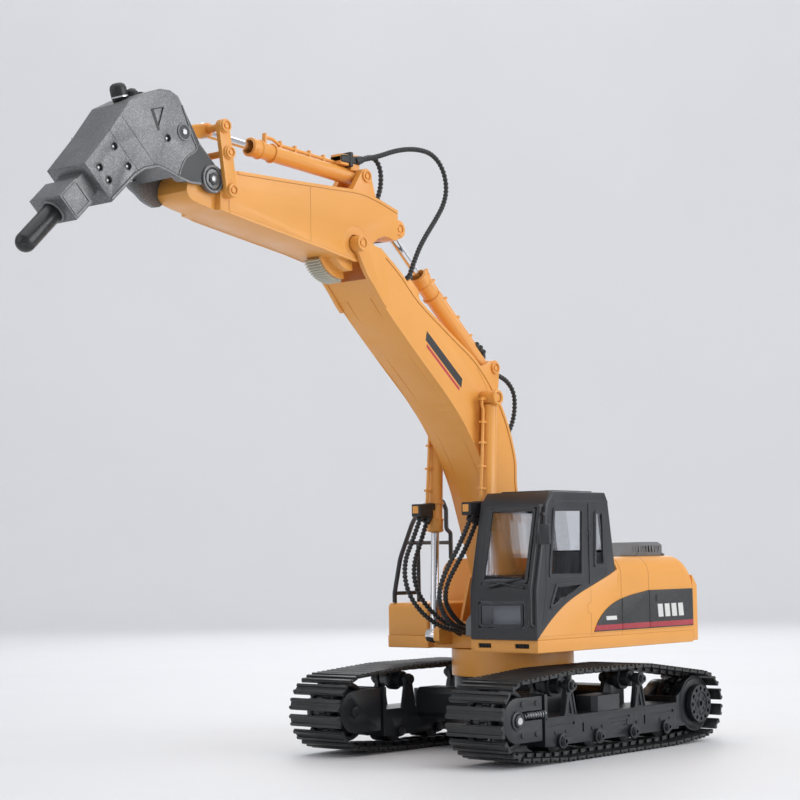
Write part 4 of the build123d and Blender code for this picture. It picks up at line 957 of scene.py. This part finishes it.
def make_cab_roof():
    """Two stacked panels, drawn as (X, Y) outlines that grow upwards."""
    bm = bmesh.new()
    add_prism(bm, rounded([(-5, 27.5), (55, 27.5), (55, 78), (-5, 78)], 5), -0.4, 1.0)
    add_prism(bm, rounded([(4, 36), (42, 36), (42, 70), (4, 70)], 3), 0.9, 1.5)
    flat = Matrix(((1, 0, 0, 0), (0, 0, 1, 0), (0, 1, 0, CAB_TOP), (0, 0, 0, 1)))
    bmesh.ops.transform(bm, matrix=flat, verts=bm.verts)
    finish_piece("cab_roof_panel", bm, "house", "black_plastic", bevel=0.3)


def make_cab_parts():
    """The door's seam, the step beside the cab and the lining inside, painted pale grey as painted light
    where little light reaches inside the cab.
    """
    bm = bmesh.new()
    add_band(bm, [(67.4, 176), (67.4, 118), (72.5, 92)], -0.15, 0.15, *house_skin(-0.1, 0.05))
    finish_piece("cab_door_line", bm, "house", "black_plastic", BLACK_SEAM)
    bm = bmesh.new()
    add_prism(bm, [(65, 84), (77.5, 84), (77.5, 94.5), (69, 101.5), (65, 101.5)], 18.2, 23.6)
    finish_piece("step_box", bm, "house", "grey_plastic", bevel=0.8, angle=40)
    bm = bmesh.new()
    add_prism(bm, [(-12.5, 86), (72, 86), (72, 116), (66, 123), (-12, 123)], 26.6, 27.6)
    add_prism(bm, [(-13.6, 86), (-12.4, 86), (-10.2, 141), (-11.4, 141)], 28, 78)
    add_block(bm, 68.5, 70, 37, 72, 87, 110)
    finish_piece("cab_lining", bm, "house", "seat_plastic", LINING_PAINTED_LIGHT, bevel=0.3, angle=40)


make_cab_side_frames()
make_cab_front_frames()
make_cab_roof()
make_cab_parts()


# ---------------- house
COVER_FOOT, COVER_ROUND = 82, 13
COVER_FRONT, COVER_MIDDLE, COVER_BACK = -19, -60, -103


def shoulder(height):
    """The (Y, Z) quarter circle from the house's side up to the cover's top at a height."""
    turns = [math.pi / 16 * j for j in range(9)]
    return [(HOUSE_FACE - COVER_ROUND * (1 - math.cos(t)), height - COVER_ROUND * (1 - math.sin(t)))
            for t in turns]


def make_house_lines():
    """Seams over the cover's shoulder and along the side, and the dark inserts in side and front."""
    for x, low in ((-58.5, 112.8), (-23.0, 108.4)):
        ribbon = bmesh.new()
        line = [(HOUSE_FACE, low)] + shoulder(COVER_TOP) + [(40, COVER_TOP)]
        add_band(ribbon, line, -0.06, 0.1, -0.2, 0.2)
        turn_to(ribbon, (x, 0, 0), (0, 1, 0), (0, 0, 1), (1, 0, 0))
        finish_piece(f"cover_line_{-x:.0f}", ribbon, "house", "orange_plastic", SEAM, angle=50)
    bm = bmesh.new()
    add_band(bm, [(-23.0, 85.2), (-23.0, 82.2)], -0.2, 0.2, *house_skin(-0.1, 0.04))
    add_band(bm, [(14.7, 116.6), (14.7, 106.2), (18.6, 105.2), (18.6, 99.4), (14.8, 98.2), (14.9, 82.4)],
             -0.14, 0.14, *house_skin(-0.1, 0.04))
    add_band(bm, [(-116, 84.4), (76, 84.4)], -0.08, 0.08, *house_skin(-0.05, 0.03))
    finish_piece("house_lines", bm, "house", "orange_plastic", SEAM)
    bm = bmesh.new()
    add_block(bm, -68.3, -66.6, *house_skin(0.6, 0.9), 104.4, 109.8)
    for y0, y1 in ((30, 41), (62, 74)):
        add_block(bm, 76.2, 77.2, y0 + 0.2, y1 - 0.2, 76.4, 79.0)
        for k in range(4):
            y = y0 + 1.5 + k * (y1 - y0 - 3) / 3
            add_block(bm, 77, 77.7, y - 0.4, y + 0.4, 76.4, 79.0)
    finish_piece("dark_inserts", bm, "house", "black_plastic", BLACK_SEAM, smooth=False)


def make_hood():
    """The wedges in front of and behind the hood, and the slanted louvres on its side."""
    bm = bmesh.new()
    top = COVER_TOP
    add_prism(bm, [(-44, top), (-68.2, top), (-68.2, top + 10.3), (-58.5, top + 10.3)], 42, 66)
    add_prism(bm, [(-101.5, top), (-104.5, top), (-104.5, top + 1.6), (-101.5, top + 2.4)], 41, 67)
    finish_piece("hood_front", bm, "house", "grey_plastic", bevel=1.2, angle=40)
    bm = bmesh.new()
    low, high = top + 2.6, top + 7.8
    for k in range(10):
        x = -97 + 3.6 * k
        add_prism(bm, [(x, low), (x + 1.2, low), (x + 2.0, high), (x + 0.8, high)], 65.9, 66.35)
    finish_piece("hood_louvres", bm, "house", "grey_plastic", bevel=0.1, angle=40)


def make_cover():
    """The engine cover with its full round shoulders, in place of the CAD's plainer one."""
    stations = [(COVER_FRONT, 0), (COVER_MIDDLE, 0), (COVER_BACK, 0)]
    for k in range(1, 13):
        turn = math.pi / 2 * k / 12
        stations.append((COVER_BACK - 15 * math.sin(turn), 14.5 * (1 - math.cos(turn))))
    bm = bmesh.new()
    rings = []
    for x, drop in stations:
        ring = [(HOUSE_FACE, COVER_FOOT)] + shoulder(COVER_TOP - drop)
        ring += [(-y, z) for y, z in ring[::-1]]
        rings.append([bm.verts.new((x, y, z)) for y, z in ring])
    skin_rings(bm, rings)
    bm.faces.new(rings[0][::-1])
    bm.faces.new(rings[-1])
    cover = finish_piece("engine_cover_shell", bm, "house", "orange_plastic", angle=50)
    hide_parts("engine_cover")


make_house_lines()
make_hood()
make_cover()


# ---------------- undercarriage
SPRING_START, SPRING_LENGTH, SPRING_COILS, COIL_RADIUS, WIRE_RADIUS = 80.2, 22, 8, 2.1, 0.48
SPRING_Y, SPRING_Z = 87, 33


def make_springs():
    """The coiled springs behind the idlers, in place of the CAD's plain ones."""
    steps = SPRING_COILS * 20
    bm = bmesh.new()
    for side in (1, -1):
        line = []
        for k in range(steps + 1):
            turn = 2 * math.pi * SPRING_COILS * k / steps
            line.append((SPRING_START + SPRING_LENGTH * k / steps,
                         side * (SPRING_Y + COIL_RADIUS * math.cos(turn)),
                         SPRING_Z + COIL_RADIUS * math.sin(turn)))
        add_tube(bm, line, WIRE_RADIUS, 8)
    coils = finish_piece("track_spring_coils", bm, "undercarriage", "spring_steel", angle=80)
    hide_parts("track_springs")


def make_idler_hub(hand, side):
    """The axle's end on the idler and the collar on its yoke."""
    bm = bmesh.new()
    add_turned(bm, (IDLER_X, side * (TRACK_FACE + 3), IDLER_Z), (0, side, 0),
               [(2.7, -0.2), (2.7, 0.5), (2.2, 0.9), (0, 0.9)], 30)
    finish_piece(f"idler_axle_{hand}", bm, f"idler_{hand}", "rod_steel")
    bm = bmesh.new()
    add_loop(bm, (IDLER_X, side * (TRACK_FACE + 1), IDLER_Z), (0, side, 0),
             [(4.3, -0.2), (6.6, -0.2), (6.4, 0.9), (5.0, 1.3), (4.3, 0.9)], 36)
    finish_piece(f"idler_collar_{hand}", bm, f"yoke_{hand}", "frame_plastic")


def make_frame_ribs(hand, side):
    """Ribs and rings on the carrier posts, the long rib and a bolt pair at each track roller."""
    y, axis = side * TRACK_FACE, (0, side, 0)
    y0, y1 = sorted((side * (TRACK_FACE - 0.2), side * (TRACK_FACE + 0.9)))
    bm = bmesh.new()
    for x in (51.3, -33.9):
        for way in (-1, 1):
            add_band(bm, [(x + way * 6.2, 30.6), (x + way * 2.9, 44.5)], -0.6, 0.6, y0, y1)
        add_loop(bm, (x, y, 50.2), axis, [(2.4, -0.2), (4.4, -0.2), (4.3, 0.2), (2.4, 0.2)], 30)
    add_band(bm, [(79, 29.2), (-84, 29.2)], -0.5, 0.5, y0, y1)
    for x in (62, 18.9, -23.9, -66.4):
        for way in (-1, 1):
            add_turned(bm, (x + way * 6.2, y, 19.5), axis, [(1.1, -0.2), (1.1, 0.6), (0, 0.8)], 14)
    finish_piece(f"frame_ribs_{hand}", bm, "undercarriage", "frame_plastic", bevel=0.15)


make_springs()
for hand_name, hand_side in (("left", 1), ("right", -1)):
    make_idler_hub(hand_name, hand_side)
    make_frame_ribs(hand_name, hand_side)


# ---------------- stage
FLOOR_RADIUS, FLOOR_BEND, WALL_HEIGHT = 2.6, 1.4, 4.5


def add_area(name, place, size, power, target=(0.1, 0, 0.2)):
    """A soft rectangular light that looks at a target."""
    light = bpy.data.lights.new(name, "AREA")
    light.shape = "RECTANGLE"
    light.size, light.size_y = size
    light.energy = power
    holder = add_object(name, light)
    holder.location = place
    holder.rotation_mode = "QUATERNION"
    holder.rotation_quaternion = (Vector(target) - Vector(place)).to_track_quat("-Z", "Y")


def add_floor():
    """A pale seamless floor that curves up into a far wall all round."""
    profile = [(0.001, 0.0), (FLOOR_RADIUS, 0.0)]
    for k in range(1, 13):
        turn = math.pi / 2 * k / 12
        profile.append((FLOOR_RADIUS + FLOOR_BEND * math.sin(turn), FLOOR_BEND * (1 - math.cos(turn))))
    profile.append((FLOOR_RADIUS + FLOOR_BEND, WALL_HEIGHT))
    bm = bmesh.new()
    add_turned(bm, (0, 0, -0.0002), (0, 0, 1), profile, 96)
    for face in [f for f in bm.faces if len(f.verts) > 4]:
        bm.faces.remove(face)
    mesh = bpy.data.meshes.new("floor")
    bm.to_mesh(mesh)
    bm.free()
    mesh.shade_smooth()
    floor = add_object("floor", mesh)
    n = Nodes("floor")
    n.set("Base Color", n.mix(n.uneven(2.0, 0, 1), (0.76, 0.765, 0.78), (0.78, 0.785, 0.80)))
    n.set("Roughness", n.uneven(14, 0.5, 0.6))
    n.set("Specular IOR Level", 0.25)
    floor.data.materials.append(n.material)


def add_lights():
    """A pale sky and soft area lights."""
    world = bpy.data.worlds.new("studio")
    bpy.context.scene.world = world
    world.use_nodes = True
    shade = world.node_tree.nodes["Background"]
    shade.inputs["Color"].default_value = (0.95, 0.96, 1.0, 1)
    shade.inputs["Strength"].default_value = 0.55
    bpy.context.scene.view_settings.view_transform = "Standard"
    add_area("top", (0.1, 0.1, 1.9), (2.2, 2.2), 16)
    add_area("key", (-0.7, 2.3, 0.9), (2.2, 1.6), 34)
    add_area("fill", (1.8, -0.6, 0.9), (1.2, 1.2), 4)
    add_area("rear", (-1.4, -1.2, 1.2), (1.2, 1.2), 8)
    add_area("wall", (-1.5, -1.1, 3.0), (2.6, 1.0), 27, target=(-3.7, -2.7, 0.5))


add_floor()
add_lights()
